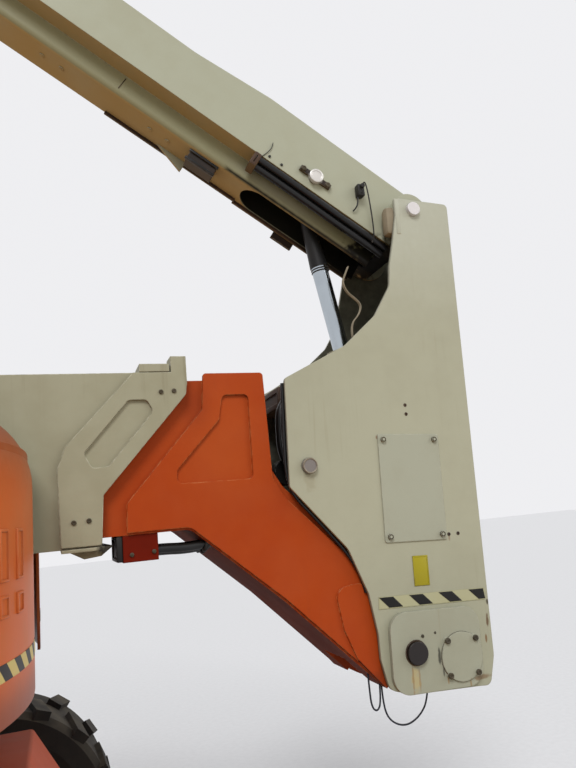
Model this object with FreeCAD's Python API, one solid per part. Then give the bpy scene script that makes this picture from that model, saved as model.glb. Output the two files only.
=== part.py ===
import FreeCAD, Part
import math
import os
from FreeCAD import Placement, Rotation, Vector

# Self-propelled articulating boom lift, about sixteen metres of platform height.
# Millimetres. The origin is on the ground under the slewing axis, +Z is up,
# +X points to the tail, where the upright stands, and +Y to the machine's right side.
# Side outlines are tables of x, z and corner radius; they are extruded along Y.

# Chassis and wheels
WHEELBASE = 2440
REAR_AXLE_X = 940
FRONT_AXLE_X = REAR_AXLE_X - WHEELBASE
MACHINE_WIDTH = 2300
TYRE_RADIUS = 420
TYRE_WIDTH = 380
TYRE_CARCASS_RADIUS = 402
TYRE_SHOULDER = 40
BEAD_HEIGHT = 25
LUG_COUNT = 16
LUG_START = 18
LUG_END = 174
LUG_WIDTH = 56
LUG_SLANT = 15
LUG_ROOT = 24
RIM_RADIUS = 215
RIM_WIDTH = 250
RIM_WALL = 8
RIM_FLANGE = 12
DISC_THICKNESS = 16
DISC_INSET = 70
HUB_RADIUS = 90
HUB_PROUD = 22
SPINDLE_RADIUS = 45
SPINDLE_LENGTH = 140
WHEEL_BOLTS = 9
WHEEL_BOLT_CIRCLE = 130
WHEEL_BOLT_RADIUS = 11
WHEEL_BOLT_PROUD = 14
CHASSIS_HALF_WIDTH = 380
CHASSIS_TOP = 850
CHASSIS_BOTTOM = 540
CHASSIS_END = 310
CHASSIS_RAKE = 50
AXLE_HALF_HEIGHT = 60
AXLE_HALF_DEPTH = 75
AXLE_SADDLE = 110
AXLE_SADDLE_HALF = 220
KINGPIN_Y = 690
KINGPIN_RADIUS = 32
KINGPIN_BOSS_RADIUS = 55
KNUCKLE_GAP = 0.3
KNUCKLE_EAR = 34
SPINDLE_Y = 800
STEER_ARM = 150
STEER_ARM_HALF = 25
TIE_ROD_RADIUS = 16
TIE_ROD_EYE = 38
TIE_ROD_GAP = 0.3
TIE_DOWN_REACH = 60
TIE_DOWN_RADIUS = 50
TIE_DOWN_HOLE_RADIUS = 22
TIE_DOWN_THICKNESS = 25
TIE_DOWN_Y = 300
SLEW_RING_RADIUS = 430
SLEW_RING_BORE = 340
SLEW_RING_HEIGHT = 50
SLEW_GAP = 0.3
RUNNING_GAP = 0.3
PIN_CLEARANCE = 0.05
SLIDE_GAP = 0.05

# Turntable and its covers
TURNTABLE_BASE_THICKNESS = 30
TURNTABLE_HALF_WIDTH = 620
TURNTABLE_FRONT_X = -960
TURNTABLE_REAR_X = 960
CHEEK_THICKNESS = 20
CHEEK_Y = 215
CHEEK_RISE = 90
CHEEK_WAIST = 1200
TAIL_X = 1122
COUNTERWEIGHT_FRONT_X = 700
COUNTERWEIGHT_REAR_X = 1020
COUNTERWEIGHT_INNER = 250
COUNTERWEIGHT_HALF_WIDTH = 560
COUNTERWEIGHT_TOP = 1290
HOOD_BOTTOM = 1090
HOOD_TOP = 1695
HOOD_SIDE_Y = 1060
HOOD_INNER_Y = 252
HOOD_FRONT_X = -980
HOOD_WALL = 8
HOOD_TAIL_RADIUS = 760
HOOD_FRONT_RADIUS = 260
HOOD_TOP_RADIUS = 170
HINGE_POST_X = -955
HINGE_POST_RADIUS = 12
HINGE_POST_TOP = 1500
HINGE_SLEEVE_RADIUS = 22
HINGE_SLEEVE_LENGTH = 80
HINGE_SLEEVE_LEVELS = (1110, 1400)
HINGE_FOOT = 40
ENGINE_BOX = (-560, 420, 300, 900, 1560)
TANK_BOX = (-420, 560, -900, -330, 1480)
CONTROL_BOX = (-400, -60, -1010, -900, 1180, 1500)

# Tower boom: a fixed tube with a collar, and the sliding fly that ends in the gooseneck
TOWER_PIVOT = (-850, 1560)
TOWER_TOP = 1805
TOWER_BOTTOM = 1372
TOWER_HALF_WIDTH = 186
TOWER_WALL = 8
TOWER_NOSE = 80
TOWER_BOSS_RADIUS = 75
TOWER_END = [(1500, 1805), (1502, 1742), (1283, 1495), (1276, 1372)]
COLLAR_PROUD = 12
COLLAR = [(1177, 1563), (1182, 1377), (1276, 1376), (1283, 1495), (1502, 1742, 20), (1507, 1775),
          (1505, 1803), (1367, 1803), (1354, 1788), (1196, 1618, 20)]
COLLAR_POCKET = [(1352, 1731, 16), (1400, 1731, 16), (1415, 1700, 14), (1298, 1564, 16), (1258, 1562, 16),
                 (1239, 1600, 10)]
POCKET_DEPTH = 8
COLLAR_CAP = (1384, 1462, 1826)
LIP_X = (1182, 1276)
LIP_THICKNESS = 8
STOP_BLOCK = [(1466, 1775), (1507, 1775), (1507, 1846), (1466, 1846)]
STOP_WIDTH = 60
PIN_RADIUS = 32
PIN_PROUD = 12
FLY_FRONT_X = -350
FLY_TOP = 1785
FLY_BOTTOM = 1392
FLY_HALF_WIDTH = 166
FLY_WALL = 8
DOUBLER = 10
GOOSENECK = [(-350, 1392), (1498, 1392, 40), (1739, 1181, 200), (1999, 925), (2160, 1090),
             (1760, 1482, 60), (1732, 1530), (1728, 1785), (-350, 1785)]
GOOSENECK_INSIDE = [(-360, 1400), (1492, 1400, 30), (1745, 1192, 200), (1885, 1056), (2010, 1181),
                    (1742, 1470, 30), (1724, 1524), (1720, 1777), (-360, 1777)]
GOOSENECK_DOUBLER = [(1556, 1803, 8), (1548, 1703), (1341, 1471, 25), (1338, 1398), (1497, 1398, 40),
                     (1742, 1186, 200), (1925, 1005), (2045, 1160), (1766, 1447, 60), (1730, 1508),
                     (1726, 1803, 10)]
GOOSENECK_POCKET = [(1605, 1742, 16), (1679, 1742, 14), (1676, 1510, 14), (1468, 1510, 16),
                    (1472, 1547, 16), (1592, 1674, 14)]
ARM_RADIUS = 108
EAR = [(1950, 1204, 20), (1878, 1198, 32), (1893, 1090), (1923, 1012), (1999, 925), (2165, 1090), (2100, 1155),
       (2060, 1160)]
EAR_PROUD = 6
WASHER_RADIUS = 80
FORK_HALF = 75
FORK_BACK = 155
FORK_REACH = 300
PAD_LENGTH = 60
BASE_PAD_X = 1110
LEVEL_BASE = (800, 1590)
LEVEL_ROD_RADIUS = 24
LEVEL_BORE = (700, 960)
HOSE_BOX = (1327, 1414, 1326)
HOSE_BOX_WIDTH = 150
TOWER_LIFT_BASE = (900, 1010)
TOWER_LIFT_EYE = (-300, 1285)
TOWER_EAR_Y = 62
TOWER_EAR_THICKNESS = 22
TOWER_EAR_RADIUS = 50
TOWER_BARREL_LENGTH = 760
TOWER_ROD_INSIDE = 360

# Upright, in its own frame: origin at the lower pin, then leaned to the tail
LOWER_PIN = (2083, 1008)
UPRIGHT_LEAN = 2.7
UPRIGHT_PLATE_Y = 200
UPRIGHT_PLATE = 12
UPRIGHT_OUTLINE = [(73, 1360, 10), (257, 1360, 14), (256, -35, 60), (236, -112, 20), (196, -110),
                   (-14, -107, 60), (-80, -88, 30), (-100, -10, 40), (-102, 55, 60), (-122, 160, 40),
                   (-175, 283, 60), (-336, 455, 12), (-337, 757, 14), (-144, 862, 60), (-38, 961, 40),
                   (20, 1060, 40), (26, 1125, 40), (46, 1213)]
UPRIGHT_REAR = 257
UPRIGHT_WEB = 10
REAR_WEB_Z = (-70, 1335)
FLOOR_WEB = (72, -106)
SLANT_STRIP = [(-290, 778), (-180, 838), (-185, 828), (-295, 768)]
TOP_PIN_LOCAL = (125, 1326)
LEVEL_PIN_LOCAL = (-278, 511)
CYLINDER_PIN_LOCAL = (141, -23)
LOWER_PIN_RADIUS = 30
TOP_PIN_RADIUS = 22
LEVEL_PIN_RADIUS = 22
CYLINDER_PIN_RADIUS = 30
COVER_BLOCK = [(-74, -104, 50), (208, -104, 50), (208, 107, 50), (-74, 107, 50)]
COVER_PROUD = 14
LID_RADIUS = 65
LID_PROUD = 5
LID_BOLT_SPAN = 45
ACCESS_PANEL = [(-62, 293, 6), (138, 293, 6), (138, 599, 6), (-62, 599, 6)]
PANEL_PROUD = 3
PANEL_BOLT_EDGE = 16
BOLT_RADIUS = 8
BOLT_PROUD = 5
HEAD_PROUD = 16

# Main boom, in its own frame: u runs out from the top pin, w is square to it
BOOM_ANGLE = 33.8
BOOM_HALF_WIDTH = 135
BOOM_TOP = 59
BOOM_ROOT_TOP = 85
BOOM_STEP = -114
BOOM_KEEL_HALF_WIDTH = 70
BOOM_KEEL = -185
BOOM_KEEL_RADIUS = 20
BOOM_KEEL_START = 16
BOOM_WALL = 8
BOOM_ROOT_END = 92
BOOM_ROOT_LENGTH = 566
BOOM_ROOT_TAPER = 832
BOOM_ROOT_CORNER = 80
BOOM_ROOT_BEND = 300
BOOM_LENGTH = 4430
BOOM_SLOT_END = 490
BOOM_SLOT_HALF = 58
BOOM_BOSS_RADIUS = 62
BOOM_FLY_CLEARANCE = 10
BOOM_FLY_HALF_WIDTH = 117
BOOM_FLY_BACK_U = 900
BOOM_FLY_END = BOOM_LENGTH + 270
BOOM_TIP_U = BOOM_FLY_END + 160
TIP_PLATE = 20
TIP_PLATE_LENGTH = 200
TIP_CORNER = 30
TIP_RADIUS = 45
TIP_PIN_RADIUS = 28
LIFT_EYE_UW = (315, -69)
KEEPER_HALF = 57
KEEPER_THICKNESS = 8
BOOM_BRACKETS = [
    # u from, u to, w from, w to, y from, y to
    (590, 686, -222, -185, -50, -5),
    (250, 330, -214, -165, 70, 80),
]
HOSE_SLEEVE_RADIUS = 20
HOSE_SLEEVE_U = (0, 510)
BARREL_RADIUS = 50
ROD_RADIUS = 27
ROD_END_LENGTH = 250
ROD_PIN_HALF = 54
ROD_PIN_RADIUS = 25
ROD_COLLAR_RADIUS = 30
ROD_NECK_RADIUS = 18
EYE_RADIUS = 40
EYE_HALF_WIDTH = 26
LIFT_ROD_SHOWN = 290
LIFT_ROD_INSIDE = 400

# Jib and platform; both start level
JIB_DROP = 40
JIB_FORWARD = 150
JIB_LENGTH = 1350
JIB_HALF_HEIGHT = 40
JIB_HALF_WIDTH = 50
JIB_PIN_RADIUS = 22
HEAD_INNER_Y = 50.3
HEAD_OUTER_Y = 66
HEAD_RISE = 50
HEAD_NEAR = 50
HEAD_FAR = 60
HEAD_FOOT = 40
HEAD_WEB = 10
HEAD_WEB_DROP = 60
PIN_END = 4
LINK_DROP = 200
LINK_GAP = 2
LINK_OPEN_GAP = 1
LINK_THICKNESS = 16
LINK_HALF_HEIGHT = 22
LINK_PIN_RADIUS = 14
JIB_LIFT_BASE = (0, -115)
JIB_LIFT_EYE = (-700, -200)
JIB_LIFT_PIN_RADIUS = 14
JIB_BARREL_RADIUS = 26
JIB_BARREL_LENGTH = 400
JIB_ROD_RADIUS = 18
JIB_ROD_INSIDE = 160
JIB_EYE_RADIUS = 28
JIB_EYE_HALF_WIDTH = 22
JIB_EAR_Y = 32
JIB_EAR_THICKNESS = 12
JIB_EAR_HALF = 25
JIB_EAR_ROOT = 90
JIB_EAR_CORNER = 20
ROTATOR_FORWARD = 190
ROTATOR_RADIUS = 62
ROTATOR_HIGH = 20
ROTATOR_PIN_RADIUS = 30
ROTATOR_ARM_LOW = 160
ROTATOR_ARM_HIGH = 20
BRACKET = 22
BRACKET_HALF_WIDTH = 90
BRACKET_START = 150
PLATFORM_FORWARD = 330
PLATFORM_DEPTH = 760
PLATFORM_WIDTH = 1830
PLATFORM_DROP = 180
FLOOR_THICKNESS = 40
RAIL_HEIGHT = 1100
RAIL_RADIUS = 18
TOE_BOARD = 150
TOE_THICKNESS = 4
GATE_WIDTH = 540
GATE_LOW = 60
GATE_PIN_RADIUS = 8
GATE_EAR = 14
GATE_HINGE_INSET = 63
GATE_STOP_GAP = 39.6
CONSOLE_DROP = 10
CONSOLE_SIZE = (210, 420, 240)


def box(x0, x1, y0, y1, z0, z1):
    return Part.makeBox(x1 - x0, y1 - y0, z1 - z0, Vector(x0, y0, z0))


def cylinder(radius, start, end):
    start, end = Vector(*start), Vector(*end)
    return Part.makeCylinder(radius, (end - start).Length, start, end - start)


def cross_pin(radius, point, half_length):
    """A round pin along Y through a point given as x, z."""
    x, z = point
    return cylinder(radius, (x, -half_length, z), (x, half_length, z))


def side_point(point):
    return Vector(point[0], 0, point[1])


def plan_point(point):
    return Vector(point[0], point[1], 0)


def rounded_face(points, place):
    """A face from a table of two coordinates and a corner radius."""
    corners = []
    count = len(points)
    for index, point in enumerate(points):
        radius = point[2] if len(point) > 2 else 0
        here = place(point)
        if not radius:
            corners.append((here, None, here))
            continue
        before = place(points[index - 1]) - here
        after = place(points[(index + 1) % count]) - here
        half = before.getAngle(after) / 2
        reach = radius / math.tan(half)
        before.normalize()
        after.normalize()
        start = here + before * reach
        end = here + after * reach
        middle = before + after
        middle.normalize()
        centre = here + middle * (radius / math.sin(half))
        corners.append((start, centre - middle * radius, end))
    edges = []
    for index, (start, middle, end) in enumerate(corners):
        if middle is not None:
            edges.append(Part.Arc(start, middle, end).toShape())
        following = corners[(index + 1) % count][0]
        if (following - end).Length > 1e-6:
            edges.append(Part.LineSegment(end, following).toShape())
    return Part.Face(Part.Wire(edges))


def side_plate(points, y0, y1):
    """A side outline of x, z, radius, filled from y0 to y1."""
    solid = rounded_face(points, side_point).extrude(Vector(0, y1 - y0, 0))
    solid.translate(Vector(0, y0, 0))
    return solid


def plan_plate(points, z0, z1):
    """A plan outline of x, y, radius, filled from z0 to z1."""
    solid = rounded_face(points, plan_point).extrude(Vector(0, 0, z1 - z0))
    solid.translate(Vector(0, 0, z0))
    return solid


def fuse(first, *others):
    return first.fuse(list(others)).removeSplitter()


def mirrored(shape):
    """The mirror image across the machine's centre plane."""
    return shape.mirror(Vector(0, 0, 0), Vector(0, 1, 0))


def both_sides(shape):
    return [shape, mirrored(shape)]


def pad_ring(x0, x1, inner, outer):
    """Slide pads as a square ring; inner and outer are half width, low and high."""
    ring = box(x0, x1, -outer[0], outer[0], outer[1], outer[2])
    return ring.cut(box(x0 - 1, x1 + 1, -inner[0], inner[0], inner[1], inner[2]))


def turned(point, degrees):
    """A side point turned anticlockwise, as seen with X right and Z up."""
    angle = math.radians(degrees)
    x, z = point
    return (x * math.cos(angle) - z * math.sin(angle), x * math.sin(angle) + z * math.cos(angle))


def shifted(point, origin):
    return (point[0] + origin[0], point[1] + origin[1])


def between(start, end, distance):
    """A point on the centre plane, a distance from start towards end, both given as x, z."""
    share = distance / math.dist(start, end)
    return (start[0] + (end[0] - start[0]) * share, 0, start[1] + (end[1] - start[1]) * share)


def upright_place():
    return Placement(Vector(LOWER_PIN[0], 0, LOWER_PIN[1]), Rotation(Vector(0, 1, 0), UPRIGHT_LEAN))


def from_upright(point):
    """Machine x, z of a point in the upright's frame."""
    return shifted(turned(point, -UPRIGHT_LEAN), LOWER_PIN)


TOP_PIN = from_upright(TOP_PIN_LOCAL)
LEVEL_PIN = from_upright(LEVEL_PIN_LOCAL)
CYLINDER_PIN = from_upright(CYLINDER_PIN_LOCAL)


def from_boom(point):
    """Machine x, z of a point in the main boom's frame."""
    u, w = point
    return shifted(turned((-u, w), -BOOM_ANGLE), TOP_PIN)


def boom_place():
    return Placement(Vector(TOP_PIN[0], 0, TOP_PIN[1]), Rotation(Vector(0, 1, 0), BOOM_ANGLE))


BOOM_TIP = from_boom((BOOM_TIP_U, 0))
LIFT_EYE = from_boom(LIFT_EYE_UW)
LIFT_SPAN = math.dist(CYLINDER_PIN, LIFT_EYE)
LIFT_BARREL_LENGTH = LIFT_SPAN - ROD_END_LENGTH - LIFT_ROD_SHOWN
JIB_PIVOT = (BOOM_TIP[0] - JIB_FORWARD, BOOM_TIP[1] - JIB_DROP)
JIB_END = (JIB_PIVOT[0] - JIB_LENGTH, JIB_PIVOT[1])
ROTATOR_X = JIB_END[0] - ROTATOR_FORWARD
PLATFORM_REAR_X = JIB_END[0] - PLATFORM_FORWARD
FLOOR_Z = JIB_END[1] - PLATFORM_DROP
AXLE_Z = TYRE_RADIUS
WHEEL_Y = (MACHINE_WIDTH - TYRE_WIDTH) / 2
SLEW_Z = CHASSIS_TOP + SLEW_RING_HEIGHT
BASE_TOP = SLEW_Z + SLEW_GAP + TURNTABLE_BASE_THICKNESS
ROTATOR_LOW = PLATFORM_DROP + FLOOR_THICKNESS - RUNNING_GAP


def chassis_frame():
    half = CHASSIS_HALF_WIDTH
    rear, front = REAR_AXLE_X, FRONT_AXLE_X
    outline = [
        (front - CHASSIS_END, CHASSIS_BOTTOM + CHASSIS_RAKE, 30),
        (front - CHASSIS_END / 2, CHASSIS_BOTTOM, 30),
        (rear + CHASSIS_END / 2, CHASSIS_BOTTOM, 30),
        (rear + CHASSIS_END, CHASSIS_BOTTOM + CHASSIS_RAKE, 30),
        (rear + CHASSIS_END / 2, CHASSIS_TOP, 15),
        (front - CHASSIS_END / 2, CHASSIS_TOP, 15),
    ]
    pieces = []
    for x, out in ((front, -1), (rear, 1)):
        for side in (-1, 1):
            pieces.append(tie_down_lug(x, out, side))
    return fuse(side_plate(outline, -half, half), *pieces)


def tie_down_point(x, out):
    return (x + out * (CHASSIS_END + TIE_DOWN_REACH), CHASSIS_BOTTOM + CHASSIS_RAKE)


def tie_down_lug(x, out, side):
    """A level lug with an upright hole, standing proud of the chassis end."""
    hole_x, z = tie_down_point(x, out)
    x0, x1 = sorted((x + out * CHASSIS_END / 2, hole_x))
    y = side * TIE_DOWN_Y
    half = TIE_DOWN_THICKNESS / 2
    lug = box(x0, x1, y - TIE_DOWN_RADIUS, y + TIE_DOWN_RADIUS, z - half, z + half)
    end = cylinder(TIE_DOWN_RADIUS, (hole_x, y, z - half), (hole_x, y, z + half))
    hole = cylinder(TIE_DOWN_HOLE_RADIUS, (hole_x, y, z - 2 * half), (hole_x, y, z + 2 * half))
    return fuse(lug, end).cut(hole)


def slew_ring():
    outer = cylinder(SLEW_RING_RADIUS, (0, 0, CHASSIS_TOP), (0, 0, SLEW_Z))
    return outer.cut(cylinder(SLEW_RING_BORE, (0, 0, CHASSIS_TOP - 1), (0, 0, SLEW_Z + 1)))


def axle_beam(x, span):
    beam = box(x - AXLE_HALF_DEPTH, x + AXLE_HALF_DEPTH, -span, span,
               AXLE_Z - AXLE_HALF_HEIGHT, AXLE_Z + AXLE_HALF_HEIGHT)
    saddle = box(x - AXLE_SADDLE, x + AXLE_SADDLE, -AXLE_SADDLE_HALF, AXLE_SADDLE_HALF,
                 AXLE_Z - AXLE_HALF_HEIGHT, CHASSIS_BOTTOM)
    return fuse(beam, saddle)


def spindle(x, side):
    return cylinder(SPINDLE_RADIUS, (x, side * (SPINDLE_Y - 1), AXLE_Z),
                    (x, side * (SPINDLE_Y + SPINDLE_LENGTH), AXLE_Z))


def rear_axle():
    x = REAR_AXLE_X
    return fuse(axle_beam(x, SPINDLE_Y), spindle(x, -1), spindle(x, 1))


def front_axle():
    x = FRONT_AXLE_X
    low, high = AXLE_Z - AXLE_HALF_HEIGHT, AXLE_Z + AXLE_HALF_HEIGHT
    bosses = [cylinder(KINGPIN_BOSS_RADIUS, (x, side * KINGPIN_Y, low), (x, side * KINGPIN_Y, high))
              for side in (-1, 1)]
    shape = fuse(axle_beam(x, KINGPIN_Y), *bosses)
    for side in (-1, 1):
        shape = shape.cut(cylinder(KINGPIN_RADIUS + PIN_CLEARANCE, (x, side * KINGPIN_Y, low - 1),
                                   (x, side * KINGPIN_Y, high + 1)))
    return shape


def knuckle(side):
    x, y = FRONT_AXLE_X, side * KINGPIN_Y
    reach = AXLE_HALF_HEIGHT + KNUCKLE_GAP
    plate_in = KINGPIN_Y + KINGPIN_BOSS_RADIUS + KNUCKLE_GAP
    pieces = [cylinder(KINGPIN_RADIUS, (x, y, AXLE_Z - reach - 1), (x, y, AXLE_Z + reach + 1))]
    for level in (-1, 1):
        z0, z1 = sorted((AXLE_Z + level * reach, AXLE_Z + level * (reach + KNUCKLE_EAR)))
        pieces.append(cylinder(KINGPIN_BOSS_RADIUS, (x, y, z0), (x, y, z1)))
        y0, y1 = sorted((y, side * SPINDLE_Y))
        pieces.append(box(x - KINGPIN_BOSS_RADIUS, x + KINGPIN_BOSS_RADIUS, y0, y1, z0, z1))
    y0, y1 = sorted((side * plate_in, side * SPINDLE_Y))
    pieces.append(box(x - KINGPIN_BOSS_RADIUS, x + KINGPIN_BOSS_RADIUS, y0, y1,
                      AXLE_Z - reach - KNUCKLE_EAR, AXLE_Z + reach + KNUCKLE_EAR))
    arm_top = AXLE_Z - reach
    pieces.append(box(x, x + STEER_ARM, y - STEER_ARM_HALF, y + STEER_ARM_HALF, arm_top - KNUCKLE_EAR, arm_top))
    pieces.append(cylinder(STEER_ARM_HALF, (x + STEER_ARM, y, arm_top - KNUCKLE_EAR),
                           (x + STEER_ARM, y, arm_top)))
    pieces.append(spindle(x, side))
    return fuse(*pieces)


def tie_rod():
    x = FRONT_AXLE_X + STEER_ARM
    top = AXLE_Z - AXLE_HALF_HEIGHT - KNUCKLE_GAP - KNUCKLE_EAR - TIE_ROD_GAP
    z = top - TIE_ROD_EYE / 2
    rod = cylinder(TIE_ROD_RADIUS, (x, -KINGPIN_Y, z), (x, KINGPIN_Y, z))
    eyes = [cylinder(STEER_ARM_HALF, (x, side * KINGPIN_Y, top - TIE_ROD_EYE),
                     (x, side * KINGPIN_Y, top)) for side in (-1, 1)]
    return fuse(rod, *eyes)


def revolved(profile, x, y):
    """A ring about the wheel's axis from a table of radius and offset along Y."""
    points = [Vector(x + radius, y + offset, AXLE_Z) for radius, offset in profile]
    face = Part.Face(Part.makePolygon(points + points[:1]))
    return face.revolve(Vector(x, y, AXLE_Z), Vector(0, 1, 0), 360)


def rim(x, side):
    """Barrel, disc and drive hub; the disc sits near the outer edge."""
    half = RIM_WIDTH / 2
    inner = RIM_RADIUS - RIM_WALL
    y = side * WHEEL_Y
    disc_out = side * (half - DISC_INSET)
    disc_in = disc_out - side * DISC_THICKNESS
    profile = [
        (inner, -half - RIM_FLANGE), (RIM_RADIUS + RIM_FLANGE, -half - RIM_FLANGE),
        (RIM_RADIUS + RIM_FLANGE, -half), (RIM_RADIUS, -half),
        (RIM_RADIUS, half), (RIM_RADIUS + RIM_FLANGE, half),
        (RIM_RADIUS + RIM_FLANGE, half + RIM_FLANGE), (inner, half + RIM_FLANGE),
    ]
    barrel = revolved(profile, x, y)
    disc = cylinder(inner + 1, (x, y + disc_in, AXLE_Z), (x, y + disc_out, AXLE_Z))
    hub_start = side * (SPINDLE_Y + RUNNING_GAP)
    hub = cylinder(HUB_RADIUS, (x, hub_start, AXLE_Z), (x, y + disc_out + side * HUB_PROUD, AXLE_Z))
    bore_end = side * (SPINDLE_Y + SPINDLE_LENGTH + RUNNING_GAP)
    shape = fuse(barrel, disc, hub)
    shape = shape.cut(cylinder(SPINDLE_RADIUS + PIN_CLEARANCE, (x, hub_start - side, AXLE_Z), (x, bore_end, AXLE_Z)))
    bolts = []
    for index in range(WHEEL_BOLTS):
        angle = 2 * math.pi * index / WHEEL_BOLTS
        bolt_x = x + WHEEL_BOLT_CIRCLE * math.cos(angle)
        bolt_z = AXLE_Z + WHEEL_BOLT_CIRCLE * math.sin(angle)
        bolts.append(cylinder(WHEEL_BOLT_RADIUS, (bolt_x, y + disc_in, bolt_z),
                              (bolt_x, y + disc_out + side * WHEEL_BOLT_PROUD, bolt_z)))
    return fuse(shape, *bolts)


def tyre(x, side):
    half, bead = TYRE_WIDTH / 2, RIM_WIDTH / 2
    y = side * WHEEL_Y
    shoulder = half - TYRE_SHOULDER
    profile = [
        (RIM_RADIUS, -bead), (RIM_RADIUS + BEAD_HEIGHT, -bead), (RIM_RADIUS + BEAD_HEIGHT * 2, -half + 12),
        (TYRE_CARCASS_RADIUS - 2 * TYRE_SHOULDER, -half), (TYRE_CARCASS_RADIUS - TYRE_SHOULDER / 2, -half + 10),
        (TYRE_CARCASS_RADIUS, -shoulder), (TYRE_CARCASS_RADIUS, shoulder),
        (TYRE_CARCASS_RADIUS - TYRE_SHOULDER / 2, half - 10), (TYRE_CARCASS_RADIUS - 2 * TYRE_SHOULDER, half),
        (RIM_RADIUS + BEAD_HEIGHT * 2, half - 12), (RIM_RADIUS + BEAD_HEIGHT, bead), (RIM_RADIUS, bead),
    ]
    carcass = revolved(profile, x, y)
    return fuse(carcass, *[lug for row in (-1, 1) for lug in lugs(x, y, row)])


def lugs(x, y, row):
    """One row of bars, slanted to the tread's middle; a bar of each row is at the ground."""
    bars = []
    pitch = 360 / LUG_COUNT
    y0, y1 = sorted((y + row * LUG_START, y + row * LUG_END))
    depth = TYRE_RADIUS - TYRE_CARCASS_RADIUS + LUG_ROOT
    for index in range(LUG_COUNT):
        bar = box(x - LUG_WIDTH / 2, x + LUG_WIDTH / 2, y0, y1,
                  AXLE_Z - TYRE_RADIUS, AXLE_Z - TYRE_RADIUS + depth)
        bar.rotate(Vector(x, (y0 + y1) / 2, AXLE_Z), Vector(0, 0, 1), row * LUG_SLANT)
        bar.rotate(Vector(x, y, AXLE_Z), Vector(0, 1, 0), index * pitch + (pitch / 2 if row > 0 else 0))
        bars.append(bar)
    return bars


def turntable_frame():
    base = plan_plate([(TURNTABLE_FRONT_X, -TURNTABLE_HALF_WIDTH, 120), (TURNTABLE_REAR_X, -TURNTABLE_HALF_WIDTH, 120),
                       (TURNTABLE_REAR_X, TURNTABLE_HALF_WIDTH, 120), (TURNTABLE_FRONT_X, TURNTABLE_HALF_WIDTH, 120)],
                      SLEW_Z + SLEW_GAP, BASE_TOP)
    x, z = TOWER_PIVOT
    outline = [
        (TURNTABLE_FRONT_X, BASE_TOP), (TURNTABLE_REAR_X, BASE_TOP),
        (TURNTABLE_REAR_X, TOWER_LIFT_BASE[1] + CHEEK_RISE, 60),
        (0, CHEEK_WAIST, 150), (x + 2 * CHEEK_RISE, z + CHEEK_RISE, 60),
        (x - CHEEK_RISE, z + CHEEK_RISE, 80), (TURNTABLE_FRONT_X, TOWER_BOTTOM, 60),
    ]
    inner = CHEEK_Y
    cheek = side_plate(outline, inner, inner + CHEEK_THICKNESS)
    post_y = HOOD_INNER_Y + HINGE_SLEEVE_RADIUS
    posts = []
    for side in (-1, 1):
        posts.append(cylinder(HINGE_POST_RADIUS, (HINGE_POST_X, side * post_y, BASE_TOP - 1),
                              (HINGE_POST_X, side * post_y, HINGE_POST_TOP)))
        foot_y = sorted((side * inner, side * (post_y + HINGE_SLEEVE_RADIUS)))
        posts.append(box(HINGE_POST_X - HINGE_SLEEVE_RADIUS, HINGE_POST_X + HINGE_SLEEVE_RADIUS,
                         foot_y[0], foot_y[1], BASE_TOP - 1, BASE_TOP + HINGE_FOOT))
    pins = [cross_pin(PIN_RADIUS, TOWER_PIVOT, inner + CHEEK_THICKNESS + PIN_PROUD),
            cross_pin(PIN_RADIUS, TOWER_LIFT_BASE, inner + CHEEK_THICKNESS + PIN_PROUD)]
    return fuse(base, *both_sides(cheek), *posts, *pins)


def counterweight():
    inner = COUNTERWEIGHT_INNER
    plan = [(COUNTERWEIGHT_FRONT_X, inner), (COUNTERWEIGHT_REAR_X, inner),
            (COUNTERWEIGHT_REAR_X, COUNTERWEIGHT_HALF_WIDTH, 180), (COUNTERWEIGHT_FRONT_X, COUNTERWEIGHT_HALF_WIDTH, 40)]
    half = plan_plate(plan, BASE_TOP, COUNTERWEIGHT_TOP)
    return Part.Compound(both_sides(half))


def hood_plan(inset, inner):
    """The hood's outline on the +Y side, drawn in by inset, from the inner edge outwards."""
    outer = HOOD_SIDE_Y - inset
    return [(HOOD_FRONT_X + inset, inner), (TAIL_X - inset, inner),
            (TAIL_X - inset, outer, HOOD_TAIL_RADIUS - inset),
            (HOOD_FRONT_X + inset, outer, HOOD_FRONT_RADIUS - inset)]


def top_edges(shape, z, y_min):
    chosen = []
    for edge in shape.Edges:
        box_ = edge.BoundBox
        if abs(box_.ZMin - z) < 0.01 and abs(box_.ZMax - z) < 0.01 and box_.YMax > y_min:
            chosen.append(edge)
    return chosen


def hood(side):
    """A moulded cover, open below and towards the boom, swung on its front inner edge."""
    outer = plan_plate(hood_plan(0, HOOD_INNER_Y), HOOD_BOTTOM, HOOD_TOP)
    outer = outer.makeFillet(HOOD_TOP_RADIUS, top_edges(outer, HOOD_TOP, HOOD_INNER_Y + 1))
    inner = plan_plate(hood_plan(HOOD_WALL, HOOD_INNER_Y - 50), HOOD_BOTTOM - 50, HOOD_TOP - HOOD_WALL)
    inner = inner.makeFillet(HOOD_TOP_RADIUS - HOOD_WALL,
                             top_edges(inner, HOOD_TOP - HOOD_WALL, HOOD_INNER_Y - 49))
    shape = outer.cut(inner)
    y = HOOD_INNER_Y + HINGE_SLEEVE_RADIUS
    sleeves = []
    for z0 in HINGE_SLEEVE_LEVELS:
        sleeves.append(cylinder(HINGE_SLEEVE_RADIUS, (HINGE_POST_X, y, z0), (HINGE_POST_X, y, z0 + HINGE_SLEEVE_LENGTH)))
        sleeves.append(box(HOOD_FRONT_X + HOOD_WALL - 1, HINGE_POST_X, y - HINGE_SLEEVE_RADIUS,
                           y + HINGE_SLEEVE_RADIUS, z0, z0 + HINGE_SLEEVE_LENGTH))
    shape = fuse(shape, *sleeves)
    shape = shape.cut(cylinder(HINGE_POST_RADIUS + PIN_CLEARANCE, (HINGE_POST_X, y, HOOD_BOTTOM - 10),
                               (HINGE_POST_X, y, HOOD_TOP - HOOD_WALL)))
    return shape if side > 0 else mirrored(shape)


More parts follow.
